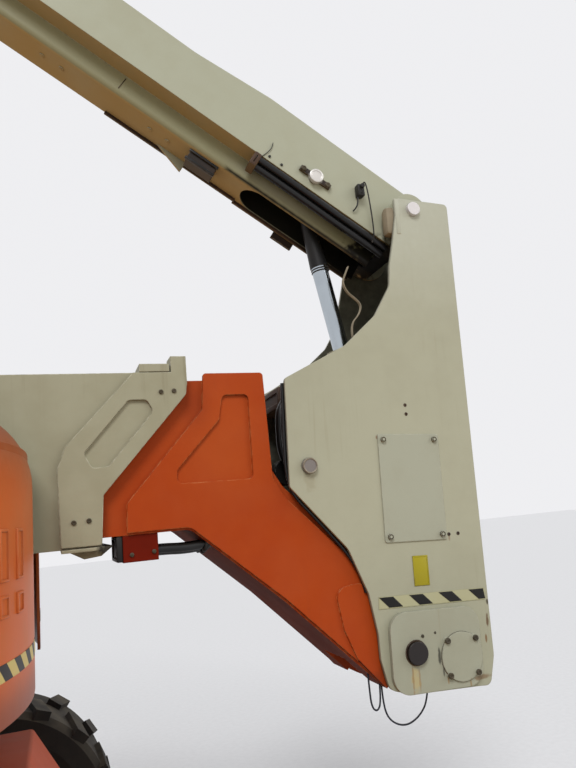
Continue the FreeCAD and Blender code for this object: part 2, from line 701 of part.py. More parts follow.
def tower_boom_base():
    x, z = TOWER_PIVOT
    outline = [
        (x - TOWER_NOSE, z - TOWER_NOSE, 60), (x - TOWER_NOSE, z + TOWER_NOSE, 60),
        (x + 2 * TOWER_NOSE, TOWER_TOP, 60), *TOWER_END, (x + 3 * TOWER_NOSE, TOWER_BOTTOM, 60),
    ]
    half = TOWER_HALF_WIDTH
    inside = (half - TOWER_WALL, TOWER_BOTTOM + TOWER_WALL, TOWER_TOP - TOWER_WALL)
    shape = side_plate(outline, -half, half)
    shape = shape.cut(box(x + 4 * TOWER_NOSE, TOWER_END[1][0] + 50, -inside[0], inside[0], inside[1], inside[2]))
    proud = half + COLLAR_PROUD
    collar = side_plate(COLLAR, half, proud)
    collar = collar.cut(side_plate(COLLAR_POCKET, proud - POCKET_DEPTH, proud + 1))
    cap = box(COLLAR_CAP[0], COLLAR_CAP[1], -proud, proud, TOWER_TOP, COLLAR_CAP[2])
    lip = box(LIP_X[0], LIP_X[1], -proud, proud, TOWER_BOTTOM - LIP_THICKNESS, TOWER_BOTTOM)
    stop = side_plate(STOP_BLOCK, proud - STOP_WIDTH, proud)
    stop = stop.cut(box(x, TOWER_END[1][0] + 50, 0, half, TOWER_BOTTOM, TOWER_TOP))
    ear_x, ear_z = TOWER_LIFT_EYE
    ear_outline = [(ear_x - 150, TOWER_BOTTOM + 1), (ear_x - TOWER_EAR_RADIUS, ear_z - TOWER_EAR_RADIUS, 40),
                   (ear_x + TOWER_EAR_RADIUS, ear_z - TOWER_EAR_RADIUS, 40), (ear_x + 150, TOWER_BOTTOM + 1)]
    ear = side_plate(ear_outline, TOWER_EAR_Y, TOWER_EAR_Y + TOWER_EAR_THICKNESS)
    boss = cylinder(TOWER_BOSS_RADIUS, (x, half - 1, z), (x, CHEEK_Y - RUNNING_GAP, z))
    fly = (FLY_HALF_WIDTH + SLIDE_GAP, FLY_BOTTOM - SLIDE_GAP, FLY_TOP + SLIDE_GAP)
    pads = pad_ring(BASE_PAD_X, BASE_PAD_X + PAD_LENGTH, fly, inside)
    shape = fuse(shape, *both_sides(collar), cap, lip, *both_sides(stop), *both_sides(ear),
                 *both_sides(boss), pads)
    return shape.cut(cross_pin(PIN_RADIUS + PIN_CLEARANCE, TOWER_PIVOT, CHEEK_Y))


def tower_fly():
    half = FLY_HALF_WIDTH
    x, z = LOWER_PIN
    shape = fuse(side_plate(GOOSENECK, -half, half), cross_pin(ARM_RADIUS, LOWER_PIN, half))
    shape = shape.cut(side_plate(GOOSENECK_INSIDE, -half + FLY_WALL, half - FLY_WALL))
    doubler = side_plate(GOOSENECK_DOUBLER, half, half + DOUBLER)
    doubler = doubler.cut(side_plate(GOOSENECK_POCKET, half + DOUBLER - POCKET_DEPTH, half + DOUBLER + 1))
    ear = fuse(side_plate(EAR, half, half + DOUBLER + EAR_PROUD),
               cylinder(ARM_RADIUS, (x, half, z), (x, half + DOUBLER, z)),
               cylinder(WASHER_RADIUS, (x, half, z), (x, UPRIGHT_PLATE_Y - UPRIGHT_PLATE - RUNNING_GAP, z)))
    base = (TOWER_HALF_WIDTH - TOWER_WALL - SLIDE_GAP, TOWER_BOTTOM + TOWER_WALL + SLIDE_GAP,
            TOWER_TOP - TOWER_WALL - SLIDE_GAP)
    pads = pad_ring(FLY_FRONT_X, FLY_FRONT_X + PAD_LENGTH, (half - 1, FLY_BOTTOM + 1, FLY_TOP - 1), base)
    shape = fuse(shape, *both_sides(doubler), *both_sides(ear), pads)
    shape = shape.cut(box(x - FORK_BACK, x + FORK_REACH, -FORK_HALF, FORK_HALF, z - FORK_REACH, z + FORK_REACH))
    shape = shape.cut(cross_pin(LOWER_PIN_RADIUS + PIN_CLEARANCE, LOWER_PIN, half + 50))
    bore = [between(LEVEL_BASE, LEVEL_PIN, distance) for distance in LEVEL_BORE]
    return shape.cut(cylinder(LEVEL_ROD_RADIUS + SLIDE_GAP, *bore))


def hose_box():
    x0, x1, z0 = HOSE_BOX
    return box(x0, x1, -FLY_HALF_WIDTH, -FLY_HALF_WIDTH + HOSE_BOX_WIDTH, z0, FLY_BOTTOM)


def level_rod():
    end = between(LEVEL_PIN, LEVEL_BASE, EYE_RADIUS / 2)
    rod = cylinder(LEVEL_ROD_RADIUS, between(LEVEL_BASE, LEVEL_PIN, 0), end)
    return fuse(rod, cross_pin(EYE_RADIUS, LEVEL_PIN, EYE_HALF_WIDTH))


def upright_frame():
    y = UPRIGHT_PLATE_Y
    plate = side_plate(UPRIGHT_OUTLINE, y - UPRIGHT_PLATE, y)
    inner = y - UPRIGHT_PLATE
    rear = box(UPRIGHT_REAR - 2 * UPRIGHT_WEB, UPRIGHT_REAR - UPRIGHT_WEB, -inner, inner,
               REAR_WEB_Z[0], REAR_WEB_Z[1])
    floor = box(FLOOR_WEB[0], UPRIGHT_REAR - 2 * UPRIGHT_WEB - 20, -inner, inner,
                FLOOR_WEB[1], FLOOR_WEB[1] + UPRIGHT_WEB)
    strip = side_plate(SLANT_STRIP, -inner, inner)
    shape = fuse(plate, mirrored(plate), rear, floor, strip)
    for radius, point in ((LOWER_PIN_RADIUS, (0, 0)), (TOP_PIN_RADIUS, TOP_PIN_LOCAL),
                          (LEVEL_PIN_RADIUS, LEVEL_PIN_LOCAL), (CYLINDER_PIN_RADIUS, CYLINDER_PIN_LOCAL)):
        shape = shape.cut(cross_pin(radius, point, y + 1))
    shape.Placement = upright_place()
    return shape


def bolt_head(point, y):
    x, z = point
    return cylinder(BOLT_RADIUS, (x, y, z), (x, y + LID_PROUD + BOLT_PROUD, z))


def upright_covers():
    """Lower doublers with their round lids, and the flat access panels, on both sides."""
    y = UPRIGHT_PLATE_Y
    block = side_plate(COVER_BLOCK, y, y + COVER_PROUD)
    block = block.cut(cross_pin(LOWER_PIN_RADIUS, (0, 0), y + 50))
    x, z = CYLINDER_PIN_LOCAL
    lid = cylinder(LID_RADIUS, (x, y + COVER_PROUD, z), (x, y + COVER_PROUD + LID_PROUD, z))
    panel = side_plate(ACCESS_PANEL, y, y + PANEL_PROUD)
    x0, z0 = ACCESS_PANEL[0][:2]
    x1, z1 = ACCESS_PANEL[2][:2]
    lid_bolts = [(x + dx, z + dz) for dx in (-LID_BOLT_SPAN, LID_BOLT_SPAN) for dz in (-LID_BOLT_SPAN, LID_BOLT_SPAN)]
    edge = PANEL_BOLT_EDGE
    panel_bolts = [(bx, bz) for bx in (x0 + edge, x1 - edge) for bz in (z0 + edge, z1 - edge)]
    block = fuse(block, lid, *[bolt_head(point, y + COVER_PROUD) for point in lid_bolts])
    panel = fuse(panel, *[bolt_head(point, y) for point in panel_bolts])
    shape = Part.Compound(both_sides(block) + both_sides(panel))
    shape.Placement = upright_place()
    return shape


def upright_pins():
    y = UPRIGHT_PLATE_Y
    pins = [cross_pin(LOWER_PIN_RADIUS, (0, 0), y + COVER_PROUD + PIN_PROUD),
            cross_pin(TOP_PIN_RADIUS, TOP_PIN_LOCAL, y + PIN_PROUD),
            cross_pin(CYLINDER_PIN_RADIUS, CYLINDER_PIN_LOCAL, y)]
    x, z = LEVEL_PIN_LOCAL
    stub = cylinder(LEVEL_PIN_RADIUS, (x, y - UPRIGHT_PLATE - PIN_PROUD, z), (x, y + PIN_PROUD, z))
    shape = Part.Compound(pins + both_sides(stub))
    shape.Placement = upright_place()
    return shape


def barrel(base, eye, pin_radius, length, radius, rod_radius):
    """A cylinder tube with a round foot on its pin and a bore for the rod."""
    tube = cylinder(radius, between(base, eye, radius / 2), between(base, eye, length))
    tube = fuse(tube, cross_pin(radius, base, EYE_HALF_WIDTH))
    tube = tube.cut(cylinder(rod_radius + PIN_CLEARANCE, between(base, eye, radius + 20), between(base, eye, length + 1)))
    return tube.cut(cross_pin(pin_radius + PIN_CLEARANCE, base, radius + 50))


def tower_lift_barrel():
    return barrel(TOWER_LIFT_BASE, TOWER_LIFT_EYE, PIN_RADIUS, TOWER_BARREL_LENGTH, BARREL_RADIUS, ROD_RADIUS)


def tower_lift_rod():
    base, eye = TOWER_LIFT_BASE, TOWER_LIFT_EYE
    length = math.dist(base, eye)
    rod = cylinder(ROD_RADIUS, between(base, eye, TOWER_BARREL_LENGTH - TOWER_ROD_INSIDE),
                   between(base, eye, length - EYE_RADIUS / 2))
    return fuse(rod, cross_pin(EYE_RADIUS, eye, EYE_HALF_WIDTH))


def main_lift_barrel():
    return barrel(CYLINDER_PIN, LIFT_EYE, CYLINDER_PIN_RADIUS, LIFT_BARREL_LENGTH, BARREL_RADIUS, ROD_RADIUS)


def main_lift_rod():
    return cylinder(ROD_RADIUS, between(CYLINDER_PIN, LIFT_EYE, LIFT_BARREL_LENGTH - LIFT_ROD_INSIDE),
                    between(CYLINDER_PIN, LIFT_EYE, LIFT_SPAN - ROD_END_LENGTH))


def main_lift_rod_end():
    """The dark tapered rod end with its collar, eye and short pin."""
    foot = Vector(*between(CYLINDER_PIN, LIFT_EYE, LIFT_SPAN - ROD_END_LENGTH))
    head = Vector(*between(CYLINDER_PIN, LIFT_EYE, LIFT_SPAN - EYE_RADIUS / 2))
    cone = Part.makeCone(ROD_COLLAR_RADIUS, ROD_NECK_RADIUS, (head - foot).Length, foot, head - foot)
    eye = fuse(cross_pin(EYE_RADIUS, LIFT_EYE, EYE_HALF_WIDTH), cross_pin(ROD_PIN_RADIUS, LIFT_EYE, ROD_PIN_HALF))
    return fuse(eye, cone)


def main_boom_base():
    half, keel_half, wall = BOOM_HALF_WIDTH, BOOM_KEEL_HALF_WIDTH, BOOM_WALL
    root, corner, bend = BOOM_ROOT_END, BOOM_ROOT_CORNER, BOOM_ROOT_BEND
    upper = side_plate([(root, BOOM_STEP, corner), (root, BOOM_ROOT_TOP, corner),
                        (-BOOM_ROOT_LENGTH, BOOM_ROOT_TOP, bend), (-BOOM_ROOT_TAPER, BOOM_TOP, bend),
                        (-BOOM_LENGTH, BOOM_TOP), (-BOOM_LENGTH, BOOM_STEP)], -half, half)
    keel = box(-BOOM_LENGTH, -BOOM_KEEL_START, -keel_half, keel_half, BOOM_KEEL, BOOM_STEP + 1)
    edges = [edge for edge in keel.Edges if abs(edge.BoundBox.ZMax - BOOM_KEEL) < 0.01 and edge.BoundBox.YLength < 1]
    keel = keel.makeFillet(BOOM_KEEL_RADIUS, edges)
    shape = fuse(upper, keel)
    inside = box(-BOOM_LENGTH - 1, root + 1, -half + wall, half - wall, BOOM_STEP + wall, BOOM_TOP - wall)
    keel_inside = box(-BOOM_LENGTH - 1, 0, -keel_half + wall, keel_half - wall, BOOM_KEEL + wall, BOOM_STEP + wall + 1)
    slot = box(-BOOM_SLOT_END + BOOM_SLOT_HALF, 0, -BOOM_SLOT_HALF, BOOM_SLOT_HALF, BOOM_KEEL - 1, BOOM_KEEL + wall + 1)
    slot_end = cylinder(BOOM_SLOT_HALF, (-BOOM_SLOT_END + BOOM_SLOT_HALF, 0, BOOM_KEEL - 1),
                        (-BOOM_SLOT_END + BOOM_SLOT_HALF, 0, BOOM_KEEL + wall + 1))
    shape = shape.cut([inside, keel_inside, slot, slot_end])
    boss = cylinder(BOOM_BOSS_RADIUS, (0, half - 1, 0), (0, UPRIGHT_PLATE_Y - UPRIGHT_PLATE - RUNNING_GAP, 0))
    outer = (half - wall, BOOM_STEP + wall, BOOM_TOP - wall)
    gap = BOOM_FLY_CLEARANCE - SLIDE_GAP
    pads = pad_ring(-BOOM_LENGTH, -BOOM_LENGTH + PAD_LENGTH, (outer[0] - gap, outer[1] + gap, outer[2] - gap), outer)
    shape = fuse(shape, *both_sides(boss), pads)
    shape = shape.cut(cross_pin(TOP_PIN_RADIUS + PIN_CLEARANCE, (0, 0), UPRIGHT_PLATE_Y))
    shape.Placement = boom_place()
    return shape


def boom_brackets():
    """Blocks under the keel, and the heads and keeper bars of the lift pin."""
    pieces = []
    for u0, u1, w0, w1, y0, y1 in BOOM_BRACKETS:
        pieces.append(box(-u1, -u0, y0, y1, w0, w1))
    u, w = LIFT_EYE_UW
    half = BOOM_HALF_WIDTH
    head = cylinder(TOP_PIN_RADIUS, (-u, half, w), (-u, half + HEAD_PROUD, w))
    bar = box(-u - KEEPER_HALF, -u + KEEPER_HALF, half, half + KEEPER_THICKNESS, w - 9, w + 9)
    pieces += both_sides(fuse(head, bar))
    shape = Part.Compound(pieces)
    shape.Placement = boom_place()
    return shape


def boom_hose_sleeve():
    y = -(BOOM_KEEL_HALF_WIDTH + HOSE_SLEEVE_RADIUS + 1)
    w = BOOM_STEP - HOSE_SLEEVE_RADIUS
    shape = cylinder(HOSE_SLEEVE_RADIUS, (-HOSE_SLEEVE_U[1], y, w), (-HOSE_SLEEVE_U[0], y, w))
    shape.Placement = boom_place()
    return shape


def main_boom_fly():
    half, wall = BOOM_FLY_HALF_WIDTH, BOOM_WALL
    low, high = BOOM_STEP + wall + BOOM_FLY_CLEARANCE, BOOM_TOP - wall - BOOM_FLY_CLEARANCE
    shape = box(-BOOM_FLY_END, -BOOM_FLY_BACK_U, -half, half, low, high)
    shape = shape.cut(box(-BOOM_FLY_END - 1, -BOOM_FLY_BACK_U + 1, -half + wall, half - wall, low + wall, high - wall))
    root = -BOOM_FLY_END + TIP_PLATE_LENGTH
    nose = side_plate([(root, low), (root, high), (-BOOM_FLY_END, high, TIP_CORNER), (-BOOM_TIP_U, TIP_RADIUS),
                       (-BOOM_TIP_U, -TIP_RADIUS), (-BOOM_FLY_END, low, TIP_CORNER)], half - TIP_PLATE, half)
    nose = fuse(nose, cylinder(TIP_RADIUS, (-BOOM_TIP_U, half - TIP_PLATE, 0), (-BOOM_TIP_U, half, 0)))
    gap = BOOM_FLY_CLEARANCE - SLIDE_GAP
    pads = pad_ring(-BOOM_FLY_BACK_U - PAD_LENGTH, -BOOM_FLY_BACK_U, (half - 1, low + 1, high - 1),
                    (half + gap, low - gap, high + gap))
    shape = fuse(shape, *both_sides(nose), pads)
    shape = shape.cut(cross_pin(TIP_PIN_RADIUS + PIN_CLEARANCE, (-BOOM_TIP_U, 0), half + 50))
    shape.Placement = boom_place()
    return shape


def link_head(origin, facing):
    """Two plates that carry the jib and its level link; facing is +1 where they reach towards +X."""
    x, z = origin
    near, far = x - facing * HEAD_NEAR, x + facing * HEAD_FAR
    top, foot = z + HEAD_RISE, z - LINK_DROP - HEAD_FOOT
    plate = side_plate([(near, top, 40), (far, top, 30), (far, foot, 30), (near, foot, 40)],
                       HEAD_INNER_Y, HEAD_OUTER_Y)
    web_x = sorted((far, far - facing * HEAD_WEB))
    web = box(web_x[0], web_x[1], -HEAD_OUTER_Y, HEAD_OUTER_Y, z - LINK_DROP, z - HEAD_WEB_DROP)
    pin = cross_pin(JIB_PIN_RADIUS, origin, HEAD_OUTER_Y + PIN_END)
    stub = cylinder(LINK_PIN_RADIUS, (x, HEAD_OUTER_Y - 1, z - LINK_DROP),
                    (x, HEAD_OUTER_Y + LINK_THICKNESS + LINK_GAP + PIN_END, z - LINK_DROP))
    return [plate, mirrored(plate), web, pin] + both_sides(stub)


def jib_base():
    pieces = link_head(JIB_PIVOT, 1)
    x, z = BOOM_TIP
    pivot_x, pivot_z = JIB_PIVOT
    half = TIP_RADIUS - PIN_END
    boss = cross_pin(half, BOOM_TIP, BOOM_FLY_HALF_WIDTH - TIP_PLATE - RUNNING_GAP)
    neck = side_plate([(pivot_x, pivot_z + HEAD_RISE, 20), (x, z + half), (x, z - half),
                       (pivot_x + HEAD_FAR, pivot_z - HEAD_WEB_DROP, 30), (pivot_x, pivot_z - HEAD_WEB_DROP)],
                      HEAD_INNER_Y, HEAD_OUTER_Y)
    pin = cross_pin(TIP_PIN_RADIUS, BOOM_TIP, BOOM_FLY_HALF_WIDTH + PIN_PROUD)
    lift_pin = cross_pin(JIB_LIFT_PIN_RADIUS, shifted(JIB_PIVOT, JIB_LIFT_BASE), HEAD_OUTER_Y)
    return fuse(*pieces, boss, *both_sides(neck), pin, lift_pin)


def jib_arm():
    x0, z = JIB_END
    x1 = JIB_PIVOT[0]
    half, high = JIB_HALF_WIDTH, JIB_HALF_HEIGHT
    bar = box(x0, x1, -half, half, z - high, z + high)
    ends = [cross_pin(high, (x, z), half) for x in (x0, x1)]
    eye_x, eye_z = shifted(JIB_PIVOT, JIB_LIFT_EYE)
    foot, corner = eye_z - JIB_EAR_HALF, JIB_EAR_CORNER
    ear = side_plate([(eye_x - JIB_EAR_ROOT, z - high + 1), (eye_x - JIB_EAR_HALF, foot, corner),
                      (eye_x + JIB_EAR_HALF, foot, corner), (eye_x + JIB_EAR_ROOT, z - high + 1)],
                     JIB_EAR_Y, JIB_EAR_Y + JIB_EAR_THICKNESS)
    shape = fuse(bar, *ends, *both_sides(ear))
    for x in (x0, x1):
        shape = shape.cut(cross_pin(JIB_PIN_RADIUS + PIN_CLEARANCE, (x, z), half + 50))
    return shape


def jib_lift_barrel():
    base, eye = shifted(JIB_PIVOT, JIB_LIFT_BASE), shifted(JIB_PIVOT, JIB_LIFT_EYE)
    return barrel(base, eye, JIB_LIFT_PIN_RADIUS, JIB_BARREL_LENGTH, JIB_BARREL_RADIUS, JIB_ROD_RADIUS)


def jib_lift_rod():
    base, eye = shifted(JIB_PIVOT, JIB_LIFT_BASE), shifted(JIB_PIVOT, JIB_LIFT_EYE)
    length = math.dist(base, eye)
    rod = cylinder(JIB_ROD_RADIUS, between(base, eye, JIB_BARREL_LENGTH - JIB_ROD_INSIDE),
                   between(base, eye, length - JIB_EYE_RADIUS / 2))
    return fuse(rod, cross_pin(JIB_EYE_RADIUS, eye, JIB_EYE_HALF_WIDTH))


def jib_link():
    z = JIB_END[1] - LINK_DROP
    y0 = HEAD_OUTER_Y + LINK_GAP
    bar = box(JIB_END[0], JIB_PIVOT[0], y0, y0 + LINK_THICKNESS, z - LINK_HALF_HEIGHT, z + LINK_HALF_HEIGHT)
    ends = [cylinder(LINK_HALF_HEIGHT, (x, y0, z), (x, y0 + LINK_THICKNESS, z)) for x in (JIB_END[0], JIB_PIVOT[0])]
    side = fuse(bar, *ends)
    for x, gap in ((JIB_END[0], LINK_OPEN_GAP), (JIB_PIVOT[0], PIN_CLEARANCE)):
        side = side.cut(cylinder(LINK_PIN_RADIUS + gap, (x, y0 - 1, z), (x, y0 + LINK_THICKNESS + 1, z)))
    return Part.Compound(both_sides(side))


def platform_support():
    x, z = JIB_END
    pieces = link_head(JIB_END, -1)
    low, high = z - ROTATOR_LOW, z + ROTATOR_HIGH
    arm = box(ROTATOR_X, x - HEAD_NEAR, -HEAD_OUTER_Y, HEAD_OUTER_Y, z - ROTATOR_ARM_LOW, z - ROTATOR_ARM_HIGH)
    post = cylinder(ROTATOR_RADIUS, (ROTATOR_X, 0, low), (ROTATOR_X, 0, high))
    pin = cylinder(ROTATOR_PIN_RADIUS, (ROTATOR_X, 0, low - BRACKET), (ROTATOR_X, 0, high + BRACKET))
    return fuse(*pieces, arm, post, pin)


def platform_floor():
    """Floor tray and the bracket that clasps the rotator above and below."""
    x1 = PLATFORM_REAR_X
    x0 = x1 - PLATFORM_DEPTH
    half, wide = PLATFORM_WIDTH / 2, BRACKET_HALF_WIDTH
    low = JIB_END[1] - ROTATOR_LOW - RUNNING_GAP
    high = JIB_END[1] + ROTATOR_HIGH + RUNNING_GAP
    back_x = x1 + 2 * RAIL_RADIUS
    reach = ROTATOR_X + ROTATOR_RADIUS
    tray = box(x0, x1, -half, half, FLOOR_Z - FLOOR_THICKNESS, FLOOR_Z)
    lower = box(x0 + BRACKET_START, reach, -wide, wide, low - BRACKET, low)
    upper = box(back_x, reach, -wide, wide, high, high + BRACKET)
    back = box(back_x, back_x + BRACKET, -wide, wide, low - BRACKET, high + BRACKET)
    shape = fuse(tray, lower, upper, back)
    return shape.cut(cylinder(ROTATOR_PIN_RADIUS + PIN_CLEARANCE, (ROTATOR_X, 0, low - 2 * BRACKET),
                              (ROTATOR_X, 0, high + 2 * BRACKET)))


def rail_tube(start, end, level):
    """A level rail between two plan points, at a height over the floor."""
    return cylinder(RAIL_RADIUS, (start[0], start[1], FLOOR_Z + level), (end[0], end[1], FLOOR_Z + level))


def rail_post(x, y):
    return cylinder(RAIL_RADIUS, (x, y, FLOOR_Z), (x, y, FLOOR_Z + RAIL_HEIGHT))


def long_rails(x):
    """A long side of the platform: corner and middle posts, two rails and a toe board."""
    half = PLATFORM_WIDTH / 2 - RAIL_RADIUS
    pieces = [rail_post(x, y) for y in (-half, -half / 3, half / 3, half)]
    for level in (RAIL_HEIGHT, RAIL_HEIGHT / 2):
        pieces.append(rail_tube((x, -half), (x, half), level))
    for y in (-half, half):
        pieces.append(Part.makeSphere(RAIL_RADIUS, Vector(x, y, FLOOR_Z + RAIL_HEIGHT)))
    pieces.append(box(x - TOE_THICKNESS / 2, x + TOE_THICKNESS / 2, -half, half, FLOOR_Z, FLOOR_Z + TOE_BOARD))
    return fuse(*pieces)


def rail_front():
    return long_rails(PLATFORM_REAR_X - PLATFORM_DEPTH + RAIL_RADIUS)


def rail_rear():
    return long_rails(PLATFORM_REAR_X - RAIL_RADIUS)


def short_ends():
    """Plan points of the two corners of a short side, on the +Y end."""
    y = PLATFORM_WIDTH / 2 - RAIL_RADIUS
    return (PLATFORM_REAR_X - PLATFORM_DEPTH + RAIL_RADIUS, y), (PLATFORM_REAR_X - RAIL_RADIUS, y)


def rail_right():
    start, end = short_ends()
    pieces = [rail_tube(start, end, level) for level in (RAIL_HEIGHT, RAIL_HEIGHT / 2)]
    y = start[1]
    pieces.append(box(start[0], end[0], y - TOE_THICKNESS / 2, y + TOE_THICKNESS / 2, FLOOR_Z, FLOOR_Z + TOE_BOARD))
    return fuse(*pieces).cut([rail_front(), rail_rear()])


def gate_span():
    """X of the gate's hinge stile and of its free stile."""
    start, end = short_ends()
    hinge = end[0] - GATE_HINGE_INSET
    return hinge, hinge - GATE_WIDTH


def rail_left():
    """The gateway: brackets for the gate's pin, a stop post and its short rails."""
    start, end = short_ends()
    y = -start[1]
    hinge, free = gate_span()
    low, high = FLOOR_Z + GATE_LOW, FLOOR_Z + RAIL_HEIGHT
    stop_x = free - GATE_STOP_GAP
    pieces = [rail_post(stop_x, y)]
    for level in (RAIL_HEIGHT, RAIL_HEIGHT / 2):
        pieces.append(rail_tube((start[0], y), (stop_x, y), level))
    pieces.append(Part.makeSphere(RAIL_RADIUS, Vector(stop_x, y, high)))
    for z0 in (low - GATE_EAR - RUNNING_GAP, high + RUNNING_GAP):
        pieces.append(box(hinge - RAIL_RADIUS, end[0], y - RAIL_RADIUS, y + RAIL_RADIUS, z0, z0 + GATE_EAR))
    pieces.append(cylinder(GATE_PIN_RADIUS, (hinge, y, low - GATE_EAR), (hinge, y, high + GATE_EAR)))
    pieces.append(box(end[0] - RAIL_RADIUS / 2, end[0] + RAIL_RADIUS / 2, y - RAIL_RADIUS, y + RAIL_RADIUS,
                      high - 1, high + RUNNING_GAP + GATE_EAR))
    return Part.Compound(fuse(*pieces).cut([rail_front(), rail_rear()]).Solids)


def platform_gate():
    start, end = short_ends()
    y = -start[1]
    hinge, free = gate_span()
    low, high = FLOOR_Z + GATE_LOW, FLOOR_Z + RAIL_HEIGHT
    pieces = [cylinder(RAIL_RADIUS, (x, y, low), (x, y, high)) for x in (hinge, free)]
    for level in (RAIL_HEIGHT - RAIL_RADIUS, RAIL_HEIGHT / 2, GATE_LOW + RAIL_RADIUS):
        pieces.append(rail_tube((hinge, y), (free, y), level))
    shape = fuse(*pieces)
    return shape.cut(cylinder(GATE_PIN_RADIUS + PIN_CLEARANCE, (hinge, y, low - 1), (hinge, y, high + 1)))


def platform_console():
    depth, width, height = CONSOLE_SIZE
    x = PLATFORM_REAR_X - PLATFORM_DEPTH + RAIL_RADIUS
    top = FLOOR_Z + RAIL_HEIGHT
    case = box(x, x + depth, -width / 2, width / 2, top - height, top - CONSOLE_DROP)
    return case.cut(rail_front())


def engine_block():
    x0, x1, y0, y1, top = ENGINE_BOX
    return box(x0, x1, y0, y1, BASE_TOP, top)


def tank_block():
    x0, x1, y0, y1, top = TANK_BOX
    return box(x0, x1, y0, y1, BASE_TOP, top)


def ground_control_box():
    return box(*CONTROL_BOX)


PARTS = {
    "chassis_frame": chassis_frame(),
    "slew_ring": slew_ring(),
    "rear_axle": rear_axle(),
    "front_axle": front_axle(),
    "knuckle_left": knuckle(-1),
    "knuckle_right": knuckle(1),
    "tie_rod": tie_rod(),
    "rim_front_left": rim(FRONT_AXLE_X, -1),
    "rim_front_right": rim(FRONT_AXLE_X, 1),
    "rim_rear_left": rim(REAR_AXLE_X, -1),
    "rim_rear_right": rim(REAR_AXLE_X, 1),
    "tyre_front_left": tyre(FRONT_AXLE_X, -1),
    "tyre_front_right": tyre(FRONT_AXLE_X, 1),
    "tyre_rear_left": tyre(REAR_AXLE_X, -1),
    "tyre_rear_right": tyre(REAR_AXLE_X, 1),
    "turntable_frame": turntable_frame(),
    "counterweight": counterweight(),
    "engine_block": engine_block(),
    "tank_block": tank_block(),
    "ground_control_box": ground_control_box(),
    "hood_left": hood(-1),
    "hood_right": hood(1),
    "tower_lift_barrel": tower_lift_barrel(),
    "tower_lift_rod": tower_lift_rod(),
    "tower_boom_base": tower_boom_base(),
    "tower_fly": tower_fly(),
    "hose_box": hose_box(),
    "level_rod": level_rod(),
    "upright_frame": upright_frame(),
    "upright_covers": upright_covers(),
    "upright_pins": upright_pins(),
    "main_lift_barrel": main_lift_barrel(),
    "main_lift_rod": main_lift_rod(),
    "main_lift_rod_end": main_lift_rod_end(),
    "main_boom_base": main_boom_base(),
    "boom_brackets": boom_brackets(),
    "boom_hose_sleeve": boom_hose_sleeve(),
    "main_boom_fly": main_boom_fly(),
    "jib_base": jib_base(),
    "jib_arm": jib_arm(),
    "jib_link": jib_link(),
    "jib_lift_barrel": jib_lift_barrel(),
    "jib_lift_rod": jib_lift_rod(),
    "platform_support": platform_support(),
    "platform_floor": platform_floor(),
    "rail_front": rail_front(),
    "rail_rear": rail_rear(),
    "rail_left": rail_left(),
    "rail_right": rail_right(),
    "platform_gate": platform_gate(),
    "platform_console": platform_console(),
}

os.makedirs("parts", exist_ok=True)
for part_name, part_shape in PARTS.items():
    part_shape.exportStep("parts/" + part_name + ".step")
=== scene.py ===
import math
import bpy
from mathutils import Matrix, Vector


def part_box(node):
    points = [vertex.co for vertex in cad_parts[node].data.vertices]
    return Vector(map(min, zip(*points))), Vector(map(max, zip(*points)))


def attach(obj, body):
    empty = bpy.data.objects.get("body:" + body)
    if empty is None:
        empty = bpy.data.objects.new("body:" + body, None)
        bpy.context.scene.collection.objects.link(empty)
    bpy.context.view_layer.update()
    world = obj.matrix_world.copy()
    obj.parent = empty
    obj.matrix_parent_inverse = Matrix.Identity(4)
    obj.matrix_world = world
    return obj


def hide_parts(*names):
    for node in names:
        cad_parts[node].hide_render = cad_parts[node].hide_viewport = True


bl_info = {
    "name": "Boom lift dressing",
    "version": (1, 0, 0),
    "blender": (4, 5, 0),
    "location": "3D View > Sidebar > Boom lift",
    "description": "Paints an articulating boom lift and adds its hoses, marks and small fittings",
    "category": "Object",
}

import bmesh
import bpy
from mathutils import Matrix, Vector

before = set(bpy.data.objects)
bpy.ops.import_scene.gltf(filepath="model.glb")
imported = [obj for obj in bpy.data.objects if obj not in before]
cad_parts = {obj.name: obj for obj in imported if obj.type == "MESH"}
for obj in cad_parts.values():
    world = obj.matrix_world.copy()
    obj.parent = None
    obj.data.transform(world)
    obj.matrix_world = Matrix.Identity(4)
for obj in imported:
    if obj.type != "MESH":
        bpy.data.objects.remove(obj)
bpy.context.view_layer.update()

# Pivots and turns of the leaning upright and of the main boom, whose local x runs back along the boom
UPRIGHT_PIN = (2.083, 0, 1.008)
UPRIGHT_LEAN = math.radians(2.7)
BOOM_PIN = (2.27032, 0, 2.32664)
BOOM_RISE = math.radians(33.8)

# Edges that turn by more than this are sharp
SHARP = math.radians(35)

# Distances of faces from the machine's middle plane
UPRIGHT_SIDE = 0.200
PANEL_SIDE = 0.203
COVER_SIDE = 0.214
LID_SIDE = 0.219
HOOD_SIDE = 1.060

SIDES = ((-1, "left"), (1, "right"))
WHEELS = [(end, side, tag) for end in ("front", "rear") for side, tag in SIDES]

HOOD_TAIL = 1.122
HOOD_CORNER = (0.362, 0.300)
HOOD_CORNER_RADIUS = 0.760
HOOD_MIDDLE_GAP = 0.262
FLOOR_TOP = 4.81024
JIB_TOP = 5.03024


def placed(place, angle, axis):
    """The frame at a place, turned about an axis."""
    return Matrix.Translation(place) @ Matrix.Rotation(angle, 4, axis)


def srgb(red, green, blue):
    """A display colour, 0 to 255, as scene-linear values."""
    linear = []
    for value in (red, green, blue):
        part = value / 255
        linear.append(part / 12.92 if part <= 0.04045 else ((part + 0.055) / 1.055) ** 2.4)
    return tuple(linear)


def colour_field(name, description, default):
    return bpy.props.FloatVectorProperty(
        name=name, description=description, default=default, subtype="COLOR", size=3, min=0, max=1)


def length_field(name, description, default):
    return bpy.props.FloatProperty(
        name=name, description=description, default=default, min=0, unit="LENGTH", subtype="DISTANCE")


